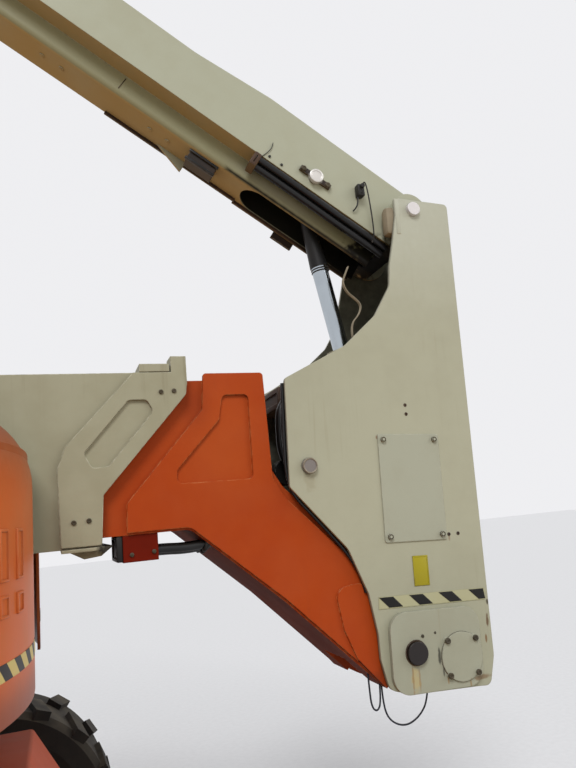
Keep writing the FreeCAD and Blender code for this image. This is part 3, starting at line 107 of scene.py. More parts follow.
class BoomLiftColours(bpy.types.PropertyGroup):
    """Paints and stains of the machine, and the colour that darkens its undersides with dirt and painted
    shade
    """

    cream: colour_field("Upright cream", "Cream paint of the upright", srgb(167, 166, 145))
    boom_cream: colour_field("Boom cream", "Cream paint of the main boom and jib", srgb(167, 169, 150))
    tower_cream: colour_field("Tower cream", "Older cream paint of the tower boom", srgb(156, 153, 130))
    orange: colour_field("Orange", "Orange paint of chassis and gooseneck", srgb(165, 63, 13))
    hood_orange: colour_field("Hood orange", "Colour of the moulded hoods", srgb(202, 98, 42))
    rim_orange: colour_field("Rim orange", "Paint of the wheel rims", srgb(150, 34, 10))
    rubber: colour_field("Rubber", "Tyres and hoses", srgb(20, 18, 19))
    rust: colour_field("Rust", "Rust marks and runs", srgb(112, 58, 26))
    # Colour of the underside darkening: brown dirt together with painted shade.
    underside_dirt_and_shade: colour_field("Underside dirt and shade", "Brown dirt and painted shade on the undersides", srgb(176, 142, 86))
    dust: colour_field("Dust", "Dust that settles on top", srgb(172, 160, 138))
    yellow: colour_field("Yellow", "Small yellow plates", srgb(156, 144, 12))
    floor: colour_field("Floor", "Studio floor as the camera sees it", srgb(226, 226, 228))


class BoomLiftSizes(bpy.types.PropertyGroup):
    """Sizes of the added pieces"""

    tape_thickness: length_field("Tape thickness", "Thickness of hazard tape and marks", 0.0006)
    bolt_radius: length_field("Bolt radius", "Corner radius of the hexagon heads", 0.0092)
    bolt_height: length_field("Bolt height", "Height of the hexagon heads", 0.0070)
    boom_hose_radius: length_field("Boom hose radius", "Radius of the hoses under the main boom", 0.0118)
    tower_hose_radius: length_field("Tower hose radius", "Radius of the hoses at the gooseneck", 0.0110)
    loop_diameter: length_field("Loop diameter", "Diameter of the loose sensor leads", 0.0050)
    louvre_depth: length_field("Louvre depth", "Depth of the louvre frames on the hoods", 0.0040)
    joystick_height: length_field("Joystick height", "Height of the platform joysticks", 0.0900)
    floor_size: length_field("Floor size", "Side of the studio floor", 60.0)


def colours():
    return bpy.context.scene.boom_lift_colours


def sizes():
    return bpy.context.scene.boom_lift_sizes


# Modelling helpers

def clear():
    """Leaves edit mode and deselects everything."""
    if bpy.context.object and bpy.context.object.mode != "OBJECT":
        bpy.ops.object.mode_set(mode="OBJECT")
    bpy.ops.object.select_all(action="DESELECT")


def pick(*pieces):
    """Selects these pieces only, and makes the first one active."""
    clear()
    for piece in pieces:
        piece.select_set(True)
    bpy.context.view_layer.objects.active = pieces[0]


def settle(piece):
    """Moves the piece's place and turn into its mesh."""
    pick(piece)
    bpy.ops.object.transform_apply(location=True, rotation=True, scale=True)


def modified(piece, kind, **settings):
    """Adds a modifier with its settings to the active piece and applies it."""
    modifier = piece.modifiers.new(kind.title(), kind)
    for name, value in settings.items():
        setattr(modifier, name, value)
    bpy.ops.object.modifier_apply(modifier=modifier.name)


def soften(piece, width):
    """Rounds the piece's sharp edges off and shades it."""
    pick(piece)
    if width:
        modified(piece, "BEVEL", width=width, segments=2, limit_method="ANGLE", angle_limit=SHARP)
    bpy.ops.object.shade_smooth_by_angle(angle=SHARP)


def turn_outward():
    """Turns the faces of the active piece outward."""
    bpy.ops.object.mode_set(mode="EDIT")
    bpy.ops.mesh.select_all(action="SELECT")
    bpy.ops.mesh.normals_make_consistent(inside=False)
    bpy.ops.object.mode_set(mode="OBJECT")


def block(name, low, high, bevel):
    """A box between two corners with rounded edges."""
    clear()
    low, high = Vector(low), Vector(high)
    bpy.ops.mesh.primitive_cube_add(size=1, location=(low + high) / 2)
    piece = bpy.context.object
    piece.name = name
    piece.scale = high - low
    settle(piece)
    soften(piece, bevel)
    return piece


def side_block(name, side, x_range, reach, z_range, bevel):
    """A block on one side of the machine; reach says how far from the middle plane it begins and ends."""
    low, high = sorted((side * reach[0], side * reach[1]))
    return block(name, (x_range[0], low, z_range[0]), (x_range[1], high, z_range[1]), bevel)


def plate(name, outline, near, far, bevel=0.0):
    """A flat piece with the outline (x, z), between two places along y."""
    clear()
    bpy.ops.mesh.primitive_circle_add(vertices=len(outline), fill_type="NGON")
    piece = bpy.context.object
    piece.name = name
    for vertex, (x, z) in zip(piece.data.vertices, outline):
        vertex.co = (x, near, z)
    bpy.ops.object.mode_set(mode="EDIT")
    bpy.ops.mesh.select_all(action="SELECT")
    bpy.ops.mesh.extrude_region_move(TRANSFORM_OT_translate={"value": (0, far - near, 0)})
    bpy.ops.object.mode_set(mode="OBJECT")
    turn_outward()
    soften(piece, bevel)
    return piece


def rod(name, start, end, radius, bevel=0.001, sides=28):
    """A round bar between two points with rounded ends."""
    clear()
    start, end = Vector(start), Vector(end)
    along = end - start
    bpy.ops.mesh.primitive_cylinder_add(
        vertices=sides, radius=radius, depth=along.length, location=(start + end) / 2,
        rotation=along.to_track_quat("Z", "Y").to_euler())
    piece = bpy.context.object
    piece.name = name
    settle(piece)
    soften(piece, bevel)
    return piece


def stub(name, x, z, near, far, radius, bevel, sides=28):
    """A round bar across the machine, between two places along y."""
    return rod(name, (x, near, z), (x, far, z), radius, bevel, sides)


def heads(name, side, places, reach, radius, bevel, pushed=None):
    """Round heads at places (x, z) on one side, joined; pushed is the inset and depth of their faces."""
    pieces = [stub("head", x, z, side * reach[0], side * reach[1], radius, bevel) for x, z in places]
    if pushed:
        for piece in pieces:
            push_face(piece, (0, side, 0), *pushed)
    return join(name, pieces)


def post(name, x, y, low, high, radius, bevel):
    """A round bar along z."""
    return rod(name, (x, y, low), (x, y, high), radius, bevel)


def spread(low, high, margin, count):
    """Places at equal steps between two ends, with a margin at both."""
    step = (high - low - 2 * margin) / (count - 1)
    return [low + margin + number * step for number in range(count)]


def ring(name, centre, axis, radius, thickness):
    """A round ring about an axis."""
    clear()
    bpy.ops.mesh.primitive_torus_add(
        major_radius=radius, minor_radius=thickness, major_segments=40, minor_segments=10,
        location=centre, rotation=Vector(axis).to_track_quat("Z", "Y").to_euler())
    piece = bpy.context.object
    piece.name = name
    settle(piece)
    soften(piece, 0)
    return piece


def push_face(piece, direction, inset, depth):
    """Insets the largest face that looks in a direction and moves it along that direction."""
    pick(piece)
    direction = Vector(direction)
    bpy.ops.object.mode_set(mode="EDIT")
    bpy.ops.mesh.select_all(action="DESELECT")
    mesh = bmesh.from_edit_mesh(piece.data)
    largest = max((face for face in mesh.faces if face.normal.dot(direction) > 0.99),
                  key=lambda face: face.calc_area())
    largest.select = True
    bmesh.update_edit_mesh(piece.data)
    bpy.ops.mesh.inset(thickness=inset, depth=0)
    bpy.ops.mesh.extrude_region_move(TRANSFORM_OT_translate={"value": direction * depth})
    bpy.ops.object.mode_set(mode="OBJECT")
    bpy.ops.object.shade_smooth_by_angle(angle=SHARP)
    return piece


def hex_bolt(name, place, direction):
    """A hexagon head on a washer, with a dished top."""
    place, direction = Vector(place), Vector(direction).normalized()
    washer_top = place + direction * 0.0012
    washer = rod(name, place, washer_top, sizes().bolt_radius * 1.12, 0.0003)
    head = rod("head", washer_top, place + direction * sizes().bolt_height, sizes().bolt_radius, 0.0008, 6)
    return join(name, [washer, push_face(head, direction, 0.0030, -0.0008)])


def join(name, pieces):
    """One piece out of several."""
    pick(*pieces)
    bpy.ops.object.join()
    pieces[0].name = name
    return pieces[0]


def copied(piece, name, matrix):
    """A copy of the piece with its own mesh, moved by a matrix."""
    pick(piece)
    bpy.ops.object.duplicate()
    twin = bpy.context.object
    twin.name = name
    twin.matrix_world = matrix @ twin.matrix_world
    settle(twin)
    return twin


def repeated(piece, count, step):
    """The piece several times in a row, a step apart."""
    pick(piece)
    modified(piece, "ARRAY", count=count, use_relative_offset=False, use_constant_offset=True,
             constant_offset_displace=step)
    return piece


def moved(piece, matrix):
    """The piece carried from a local frame into the machine's frame."""
    piece.matrix_world = matrix @ piece.matrix_world
    settle(piece)
    return piece


def line_curve(name, kind, points):
    """A curve with one spline of that kind, and the spline."""
    clear()
    bpy.ops.curve.primitive_nurbs_path_add()
    piece = bpy.context.object
    piece.name = name
    piece.data.splines.clear()
    spline = piece.data.splines.new(kind)
    spline.points.add(len(points) - 1)
    for point, place in zip(spline.points, points):
        point.co = (*place, 1)
    return piece, spline


def spline_piece(name, points, radius):
    """A round line on one smooth spline."""
    piece, spline = line_curve(name, "NURBS", points)
    spline.order_u = 3
    spline.use_endpoint_u = True
    spline.resolution_u = 12
    piece.data.bevel_depth = radius
    piece.data.bevel_resolution = 3
    piece.data.use_fill_caps = True
    return piece


def as_mesh(piece):
    """The curve as a mesh of the same name."""
    name = piece.name
    pick(piece)
    bpy.ops.object.convert(target="MESH")
    piece = bpy.context.object
    piece.name = name
    return piece


def tube(name, points, radius):
    """A hose or rod that follows a smooth line, as a mesh."""
    piece = as_mesh(spline_piece(name, points, radius))
    bpy.ops.object.mode_set(mode="EDIT")
    bpy.ops.mesh.select_all(action="SELECT")
    bpy.ops.mesh.remove_doubles(threshold=0.00001)
    bpy.ops.object.mode_set(mode="OBJECT")
    turn_outward()
    bpy.ops.object.shade_smooth_by_angle(angle=math.radians(50))
    return piece


def band(name, path, low, high, thickness):
    """A strip standing on the line path (x, y), with the length along it in its map."""
    piece, _ = line_curve(name, "POLY", [(x, y, 0) for x, y in path])
    piece.data.dimensions = "2D"
    piece.data.fill_mode = "NONE"
    piece.data.extrude = (high - low) / 2
    piece = as_mesh(piece)
    piece.location.z = (low + high) / 2
    settle(piece)
    modified(piece, "SOLIDIFY", thickness=thickness, offset=0)
    turn_outward()
    soften(piece, 0)
    lengths = [0.0]
    for before, after in zip(path, path[1:]):
        lengths.append(lengths[-1] + math.dist(before, after))
    layer = piece.data.uv_layers.get("along") or piece.data.uv_layers.new(name="along")
    for loop in piece.data.loops:
        place = piece.data.vertices[loop.vertex_index].co
        nearest = min(range(len(path)), key=lambda i: math.dist(path[i], place[:2]))
        layer.data[loop.index].uv = (lengths[nearest], place.z)
    return piece


def corners(node):
    """Lowest and highest corner of a CAD node."""
    low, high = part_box(node)
    return Vector(low), Vector(high)


def fit(piece, body, material):
    """Gives the piece its finish and the body that it rides on."""
    piece.data.materials.clear()
    piece.data.materials.append(bpy.data.materials[material])
    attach(piece, body)
    return piece


def on_upright(piece, material):
    """Fits a piece that was made in the upright's frame."""
    return fit(moved(piece, placed(UPRIGHT_PIN, UPRIGHT_LEAN, "Y")), "upright", material)


def on_boom(piece, material):
    """Fits a piece that was made in the main boom's frame."""
    return fit(moved(piece, placed(BOOM_PIN, BOOM_RISE, "Y")), "main_boom", material)


# Shader helpers

class Tree:
    """Short calls that build a node tree."""

    def __init__(self, tree):
        self.tree = tree

    def node(self, kind, inputs=None, **settings):
        node = self.tree.nodes.new("ShaderNode" + kind)
        for name, value in settings.items():
            setattr(node, name, value)
        for socket, value in (inputs or {}).items():
            self.feed(node.inputs[socket], value)
        return node

    def feed(self, socket, value):
        if isinstance(value, bpy.types.NodeSocket):
            self.tree.links.new(value, socket)
        elif hasattr(value, "__len__") and socket.type == "RGBA":
            socket.default_value = (*value[:3], 1)
        else:
            socket.default_value = value

    def math(self, operation, a, b=0.0, clamp=False):
        return self.node("Math", {0: a, 1: b}, operation=operation, use_clamp=clamp).outputs[0]

    def times(self, a, b, clamp=False):
        return self.math("MULTIPLY", a, b, clamp)

    def plus(self, a, b, clamp=False):
        return self.math("ADD", a, b, clamp)

    def minus(self, a, b):
        return self.math("SUBTRACT", a, b)

    def facing_up(self):
        """The z of the surface's normal: 1 on top, 0 on a side, -1 below."""
        normal = self.node("NewGeometry").outputs["Normal"]
        return self.node("SeparateXYZ", {0: normal}).outputs["Z"]

    def seen(self):
        """1 for the rays that show in the picture, 0 for those that only bring light."""
        path = self.node("LightPath").outputs
        shown = self.math("MAXIMUM", path["Is Camera Ray"], path["Is Glossy Ray"])
        return self.math("MAXIMUM", shown, path["Is Transmission Ray"])

    def mix(self, factor, a, b):
        return self.node("Mix", {0: factor, 6: a, 7: b}, data_type="RGBA").outputs[2]

    def smooth(self, value, low, high):
        inputs = {"Value": value, "From Min": low, "From Max": high}
        return self.node("MapRange", inputs, interpolation_type="SMOOTHSTEP").outputs[0]

    def noise(self, vector, scale, detail=4.0):
        inputs = {"Vector": vector, "Scale": scale, "Detail": detail}
        return self.node("TexNoise", inputs).outputs["Fac"]

    def turned(self, vector, location=(0, 0, 0), rotation=(0, 0, 0), scale=(1, 1, 1)):
        inputs = {"Vector": vector, "Location": location, "Rotation": rotation, "Scale": scale}
        return self.node("Mapping", inputs, vector_type="TEXTURE").outputs[0]

    def group(self, name, **inputs):
        node = self.node("Group", node_tree=bpy.data.node_groups[name])
        for label, value in inputs.items():
            self.feed(node.inputs[label.replace("_", " ")], value)
        return node.outputs


FLOAT = "NodeSocketFloat"
COLOUR = "NodeSocketColor"
VECTOR = "NodeSocketVector"
AMOUNT = [("Vector", VECTOR), ("Amount", FLOAT)]
MASK = [("Mask", FLOAT)]


def new_group(name, inputs, outputs):
    """A shader node group with named sockets."""
    group = bpy.data.node_groups.new(name, "ShaderNodeTree")
    for label, kind in inputs:
        group.interface.new_socket(label, in_out="INPUT", socket_type=kind)
    for label, kind in outputs:
        group.interface.new_socket(label, in_out="OUTPUT", socket_type=kind)
    tree = Tree(group)
    return tree, group.nodes.new("NodeGroupInput").outputs, group.nodes.new("NodeGroupOutput").inputs


def build_uneven_tone():
    tree, given, out = new_group(
        "uneven tone", [("Vector", VECTOR), ("Colour", COLOUR), ("Tone", COLOUR), ("Strength", FLOAT)],
        [("Colour", COLOUR)])
    broad = tree.noise(given["Vector"], 2.3)
    close = tree.noise(given["Vector"], 17.0, 6.0)
    cloud = tree.plus(tree.times(broad, 0.65), tree.times(close, 0.35))
    factor = tree.times(tree.smooth(cloud, 0.38, 0.66), given["Strength"])
    tree.feed(out["Colour"], tree.mix(factor, given["Colour"], given["Tone"]))


# Marks the rounded edges in the chip colour: chipped paint where that colour is dark, painted highlights
# where it is pale.
def build_edge_wear_and_highlight():
    tree, given, out = new_group(
        "edge wear", [("Vector", VECTOR), ("Width", FLOAT), ("Amount", FLOAT)],
        [("Mask", FLOAT), ("Normal", VECTOR)])
    rounded = tree.node("Bevel", {"Radius": given["Width"]}, samples=4).outputs[0]
    flat = tree.node("NewGeometry").outputs["Normal"]
    dot = tree.node("VectorMath", {0: rounded, 1: flat}, operation="DOT_PRODUCT").outputs["Value"]
    bend = tree.minus(1.0, dot)
    speckle = tree.noise(given["Vector"], 55.0, 5.0)
    broken = tree.times(bend, tree.smooth(speckle, 0.42, 0.62))
    mask = tree.smooth(broken, 0.05, 0.16)
    tree.feed(out["Mask"], tree.times(mask, given["Amount"], True))
    tree.feed(out["Normal"], rounded)


def build_settled_dust():
    tree, given, out = new_group("settled dust", AMOUNT, MASK)
    lying = tree.smooth(tree.facing_up(), 0.15, 0.95)
    clouds = tree.smooth(tree.noise(given["Vector"], 9.0, 6.0), 0.30, 0.72)
    film = tree.plus(tree.times(lying, 0.85), 0.15)
    dusty = tree.times(film, tree.plus(tree.times(clouds, 0.7), 0.3))
    tree.feed(out["Mask"], tree.times(dusty, given["Amount"], True))


# Darkens faces that look down in the grime colour: dirt on the undersides together with painted shade.
def build_underside_grime_and_shade():
    tree, given, out = new_group("underside grime", AMOUNT, MASK)
    under = tree.smooth(tree.times(tree.facing_up(), -1.0), 0.10, 0.75)
    clouds = tree.plus(tree.times(tree.noise(given["Vector"], 6.0, 6.0), 0.5), 0.62)
    dirty = tree.times(under, clouds)
    tree.feed(out["Mask"], tree.times(dirty, given["Amount"], True))


def build_run_streaks():
    tree, given, out = new_group("run streaks", AMOUNT, MASK)
    stretched = tree.turned(given["Vector"], scale=(0.012, 0.012, 0.35))
    lines = tree.smooth(tree.noise(stretched, 1.0, 3.0), 0.55, 0.78)
    patches = tree.smooth(tree.noise(given["Vector"], 3.1), 0.45, 0.65)
    upright = tree.minus(1.0, tree.math("ABSOLUTE", tree.facing_up()))
    runs = tree.times(tree.times(lines, patches), upright)
    tree.feed(out["Mask"], tree.times(runs, given["Amount"], True))


def build_fine_grain():
    tree, given, out = new_group("fine grain", AMOUNT, [("Height", FLOAT)])
    ripple = tree.noise(given["Vector"], 140.0, 3.0)
    swell = tree.noise(given["Vector"], 11.0, 2.0)
    height = tree.plus(tree.times(ripple, 0.35), tree.times(swell, 0.65))
    tree.feed(out["Height"], tree.times(height, given["Amount"]))


def build_local_patch():
    """A patch at a place; Boxed 1 makes it square, Break ragged, and it fades out from Begin on."""
    tree, given, out = new_group(
        "local patch", [("Vector", VECTOR), ("Centre", VECTOR), ("Size", VECTOR), ("Break", FLOAT),
                        ("Boxed", FLOAT), ("Begin", FLOAT), ("Amount", FLOAT)], MASK)
    away = tree.node("VectorMath", {0: given["Vector"], 1: given["Centre"]},
                     operation="SUBTRACT").outputs[0]
    scaled = tree.node("VectorMath", {0: away, 1: given["Size"]}, operation="DIVIDE").outputs[0]
    round_away = tree.node("VectorMath", {0: scaled}, operation="LENGTH").outputs["Value"]
    absolute = tree.node("VectorMath", {0: scaled}, operation="ABSOLUTE").outputs[0]
    parts = tree.node("SeparateXYZ", {0: absolute}).outputs
    square = tree.math("MAXIMUM", tree.math("MAXIMUM", parts["X"], parts["Y"]), parts["Z"])
    reach = tree.plus(tree.times(square, given["Boxed"]),
                      tree.times(round_away, tree.minus(1.0, given["Boxed"])))
    ragged = tree.minus(tree.noise(given["Vector"], 45.0, 5.0), 0.5)
    edge = tree.plus(reach, tree.times(ragged, given["Break"]))
    mask = tree.minus(1.0, tree.smooth(edge, given["Begin"], 1.05))
    tree.feed(out["Mask"], tree.times(mask, given["Amount"], True))


def build_weathered_surface():
    """Everything that weather and use do to a painted or moulded surface, with painted shade on the faces
    that look down and painted highlights on the edges where the chip colour is pale.
    """
    tree, given, out = new_group(
        "weathered surface",
        [("Vector", VECTOR), ("Colour", COLOUR), ("Tone", COLOUR), ("Unevenness", FLOAT),
         ("Chip colour", COLOUR), ("Wear", FLOAT), ("Dust colour", COLOUR), ("Dust", FLOAT),
         ("Grime colour", COLOUR), ("Grime", FLOAT), ("Streak colour", COLOUR), ("Streaks", FLOAT),
         ("Roughness", FLOAT), ("Grain", FLOAT)],
        [("Colour", COLOUR), ("Roughness", FLOAT), ("Height", FLOAT), ("Normal", VECTOR)])
    vector = given["Vector"]
    colour = tree.group("uneven tone", Vector=vector, Colour=given["Colour"], Tone=given["Tone"],
                        Strength=given["Unevenness"])["Colour"]
    streaks = tree.group("run streaks", Vector=vector, Amount=given["Streaks"])["Mask"]
    colour = tree.mix(streaks, colour, given["Streak colour"])
    # Faces that look down take the grime colour: dirt and painted shade.
    grime_and_shade = tree.group("underside grime", Vector=vector, Amount=given["Grime"])["Mask"]
    colour = tree.mix(grime_and_shade, colour, given["Grime colour"])
    # Rounded edges take the chip colour: chipped paint where it is dark, painted highlights where it is
    # pale.
    wear_and_highlight = tree.group("edge wear", Vector=vector, Width=0.004, Amount=given["Wear"])
    colour = tree.mix(wear_and_highlight["Mask"], colour, given["Chip colour"])
    dust = tree.group("settled dust", Vector=vector, Amount=given["Dust"])["Mask"]
    colour = tree.mix(dust, colour, given["Dust colour"])
    tree.feed(out["Colour"], colour)
    smudges = tree.times(tree.noise(vector, 5.0, 5.0), 0.22)
    rough = tree.plus(tree.minus(given["Roughness"], 0.11), smudges)
    rough = tree.plus(rough, tree.times(dust, 0.30))
    rough = tree.plus(rough, tree.times(wear_and_highlight["Mask"], 0.15), True)
    rough = tree.plus(rough, tree.times(grime_and_shade, 0.40), True)
    tree.feed(out["Roughness"], rough)
    tree.feed(out["Height"], tree.group("fine grain", Vector=vector, Amount=given["Grain"])["Height"])
    tree.feed(out["Normal"], wear_and_highlight["Normal"])


def new_material(name):
    """An empty material, its tree, its shader and the object coordinates."""
    material = bpy.data.materials.new(name)
    material.use_nodes = True
    material.node_tree.nodes.clear()
    tree = Tree(material.node_tree)
    shader = tree.node("BsdfPrincipled")
    output = tree.node("OutputMaterial")
    tree.feed(output.inputs["Surface"], shader.outputs[0])
    place = tree.node("TexCoord").outputs["Object"]
    return tree, shader, place


# Colours are given as 0 to 255 values, or as the name of one of the add-on's colours
PRIMER = (63, 47, 37)
# Pale edge colour of the cream paints: painted highlights along the rounded edges.
PALE_EDGE_HIGHLIGHT = (206, 202, 182)
# Near-black for soot marks on the upright and for the painted shadow line under the covers.
SOOT_AND_SHADOW_BLACK = (24, 20, 16)
RUN_BROWN = (134, 104, 64)
WASH = (178, 160, 112)
# Dark maroon for the underside darkening of the orange parts: painted shade together with dirt.
DARK_RED = (70, 20, 14)

EDGES = {
    # edge of a stain or of a patch of painted light and shade: raggedness, 1 for square and 0 for round,
    # where it begins to fade
    "ragged": (0.90, 0.0, 0.75),
    "crisp": (0.03, 1.0, 0.97),
    "soft": (0.12, 0.0, 0.10),
}

UPRIGHT_MARKS = [
    # x, z, half width, half height, colour, amount
    (-0.008, -0.066, 0.020, 0.048, WASH, 0.65),
    (-0.016, -0.066, 0.0050, 0.060, RUN_BROWN, 0.60),
    (0.004, -0.064, 0.0045, 0.054, RUN_BROWN, 0.50),
    (0.162, -0.094, 0.006, 0.018, RUN_BROWN, 0.90),
    (0.092, -0.080, 0.004, 0.014, RUN_BROWN, 0.70),
    (0.070, -0.016, 0.006, 0.030, SOOT_AND_SHADOW_BLACK, 0.75),
    (0.080, -0.055, 0.004, 0.020, SOOT_AND_SHADOW_BLACK, 0.65),
    (0.210, -0.086, 0.050, 0.010, (112, 84, 54), 0.70),
    (0.246, 0.060, 0.006, 0.026, (90, 62, 36), 0.85),
    (0.236, 0.012, 0.005, 0.018, (112, 80, 44), 0.85),
    (0.252, 0.110, 0.006, 0.012, (60, 50, 40), 0.85),
    (-0.060, 0.590, 0.010, 0.010, "rust", 0.60),
    (0.146, 0.296, 0.006, 0.012, "rust", 0.45),
    (-0.278, 0.470, 0.024, 0.050, (140, 130, 104), 0.35),
]
UPRIGHT_PATCHES = [
    # centre, half size, colour, amount, edge
    # These two soft patches make the upright paler towards the top and darker towards the bottom.
    ((0.040, 0, 1.360), (0.80, 0.3, 0.60), (196, 200, 192), 1.0, "soft"),
    ((0.060, 0, -0.060), (0.60, 0.3, 0.62), (134, 137, 120), 1.0, "soft"),
]
UPRIGHT_PATCHES += [((x, 0, z), (wide, 0.3, high), colour, amount, "ragged")
                   for x, z, wide, high, colour, amount in UPRIGHT_MARKS]

STAINS_AND_PAINTED_LIGHT = {
    # finish: its stains and its patches of painted light and shade, each with centre, half size, colour,
    # amount, edge
    "cream upright": UPRIGHT_PATCHES + [
        # Painted shade: two crisp boxes paint the faces inside the upright near-black below and dark olive
        # above.
        ((-0.0525, 0, 0.331), (0.2925, 0.1893, 0.431), (20, 19, 14), 0.95, "crisp"),
        ((-0.0525, 0, 1.130), (0.2925, 0.1893, 0.270), (52, 50, 34), 0.88, "crisp"),
    ],
    "cream covers": [tinted_patch for tinted_patch in UPRIGHT_PATCHES if tinted_patch[0][2] < 0.1] + [
        # Painted shadow: a black line along the bottom edge of the covers.
        ((0.07, 0, -0.118), (0.17, 0.3, 0.0085), SOOT_AND_SHADOW_BLACK, 0.90, "ragged"),
    ],
    "cream boom": [
        # Painted sheen: an olive-grey band along the keel side and a paler soft patch on it near the root.
        ((-2.3, 0, -0.148), (2.7, 0.2, 0.033), (144, 141, 110), 0.90, "crisp"),
        ((-0.38, 0, -0.150), (0.26, 0.2, 0.032), (172, 170, 152), 0.75, "soft"),
        # Painted shade: near-black inside the boom behind the keel slot and under the boom root; a soft
        # dark brown patch darkens the keel bottom just along from the root.
        ((-0.20, 0, -0.090), (0.36, 0.0665, 0.0905), (14, 12, 9), 0.98, "crisp"),
        ((0.03, 0, -0.15), (0.16, 0.2, 0.075), (16, 13, 9), 0.97, "ragged"),
        ((-0.12, 0, -0.19), (0.20, 0.2, 0.022), (50, 38, 24), 0.75, "soft"),
    ],
    "cream tower": [
        ((1.292, 0, 1.358), (0.034, 0.3, 0.05), (34, 28, 20), 0.95, "ragged"),
        ((1.235, 0, 1.345), (0.09, 0.3, 0.024), (96, 84, 58), 0.75, "ragged"),
    ],
    "orange gooseneck": [
        ((2.00, 0, 0.94), (0.10, 0.3, 0.05), (110, 46, 22), 0.50, "ragged"),
        ((1.60, 0, 1.60), (0.22, 0.3, 0.30), (182, 88, 36), 0.65, "soft"),
        # Painted shade: a dark red soft patch in the recessed strip between the collar and the doubler
        # plate.
        ((1.53, 0, 1.72), (0.07, 0.3, 0.12), (122, 44, 20), 0.80, "soft"),
    ],
    "orange hood": [
        ((0.4, 0, 1.09), (9.0, 9.0, 0.090), (128, 62, 36), 0.85, "soft"),
        ((0.4, 0, 1.71), (9.0, 9.0, 0.240), (112, 54, 24), 0.95, "soft"),
    ],
    "pin steel": [
        ((0, 0, 0), (0.075, 1, 0.075), (27, 19, 17), 1.0, "ragged"),
        ((-0.278, 0, 0.511), (0.055, 1, 0.055), (122, 115, 111), 1.0, "ragged"),
        ((0.125, 0, 1.326), (0.060, 1, 0.060), (210, 206, 207), 1.0, "ragged"),
    ],
    "boom bracket steel": [
        ((-0.315, 0.16, -0.069), (0.028, 0.045, 0.028), (210, 208, 203), 1.0, "ragged"),
        ((-0.315, -0.16, -0.069), (0.028, 0.045, 0.028), (210, 208, 203), 1.0, "ragged"),
    ],
}

FRAMES = {
    # finish: pin and lean of the frame in which its stains and its patches of painted light and shade are
    # placed
    "cream upright": (UPRIGHT_PIN, UPRIGHT_LEAN),
    "cream covers": (UPRIGHT_PIN, UPRIGHT_LEAN),
    "pin steel": (UPRIGHT_PIN, UPRIGHT_LEAN),
    "cream boom": (BOOM_PIN, BOOM_RISE),
    "boom bracket steel": (BOOM_PIN, BOOM_RISE),
}

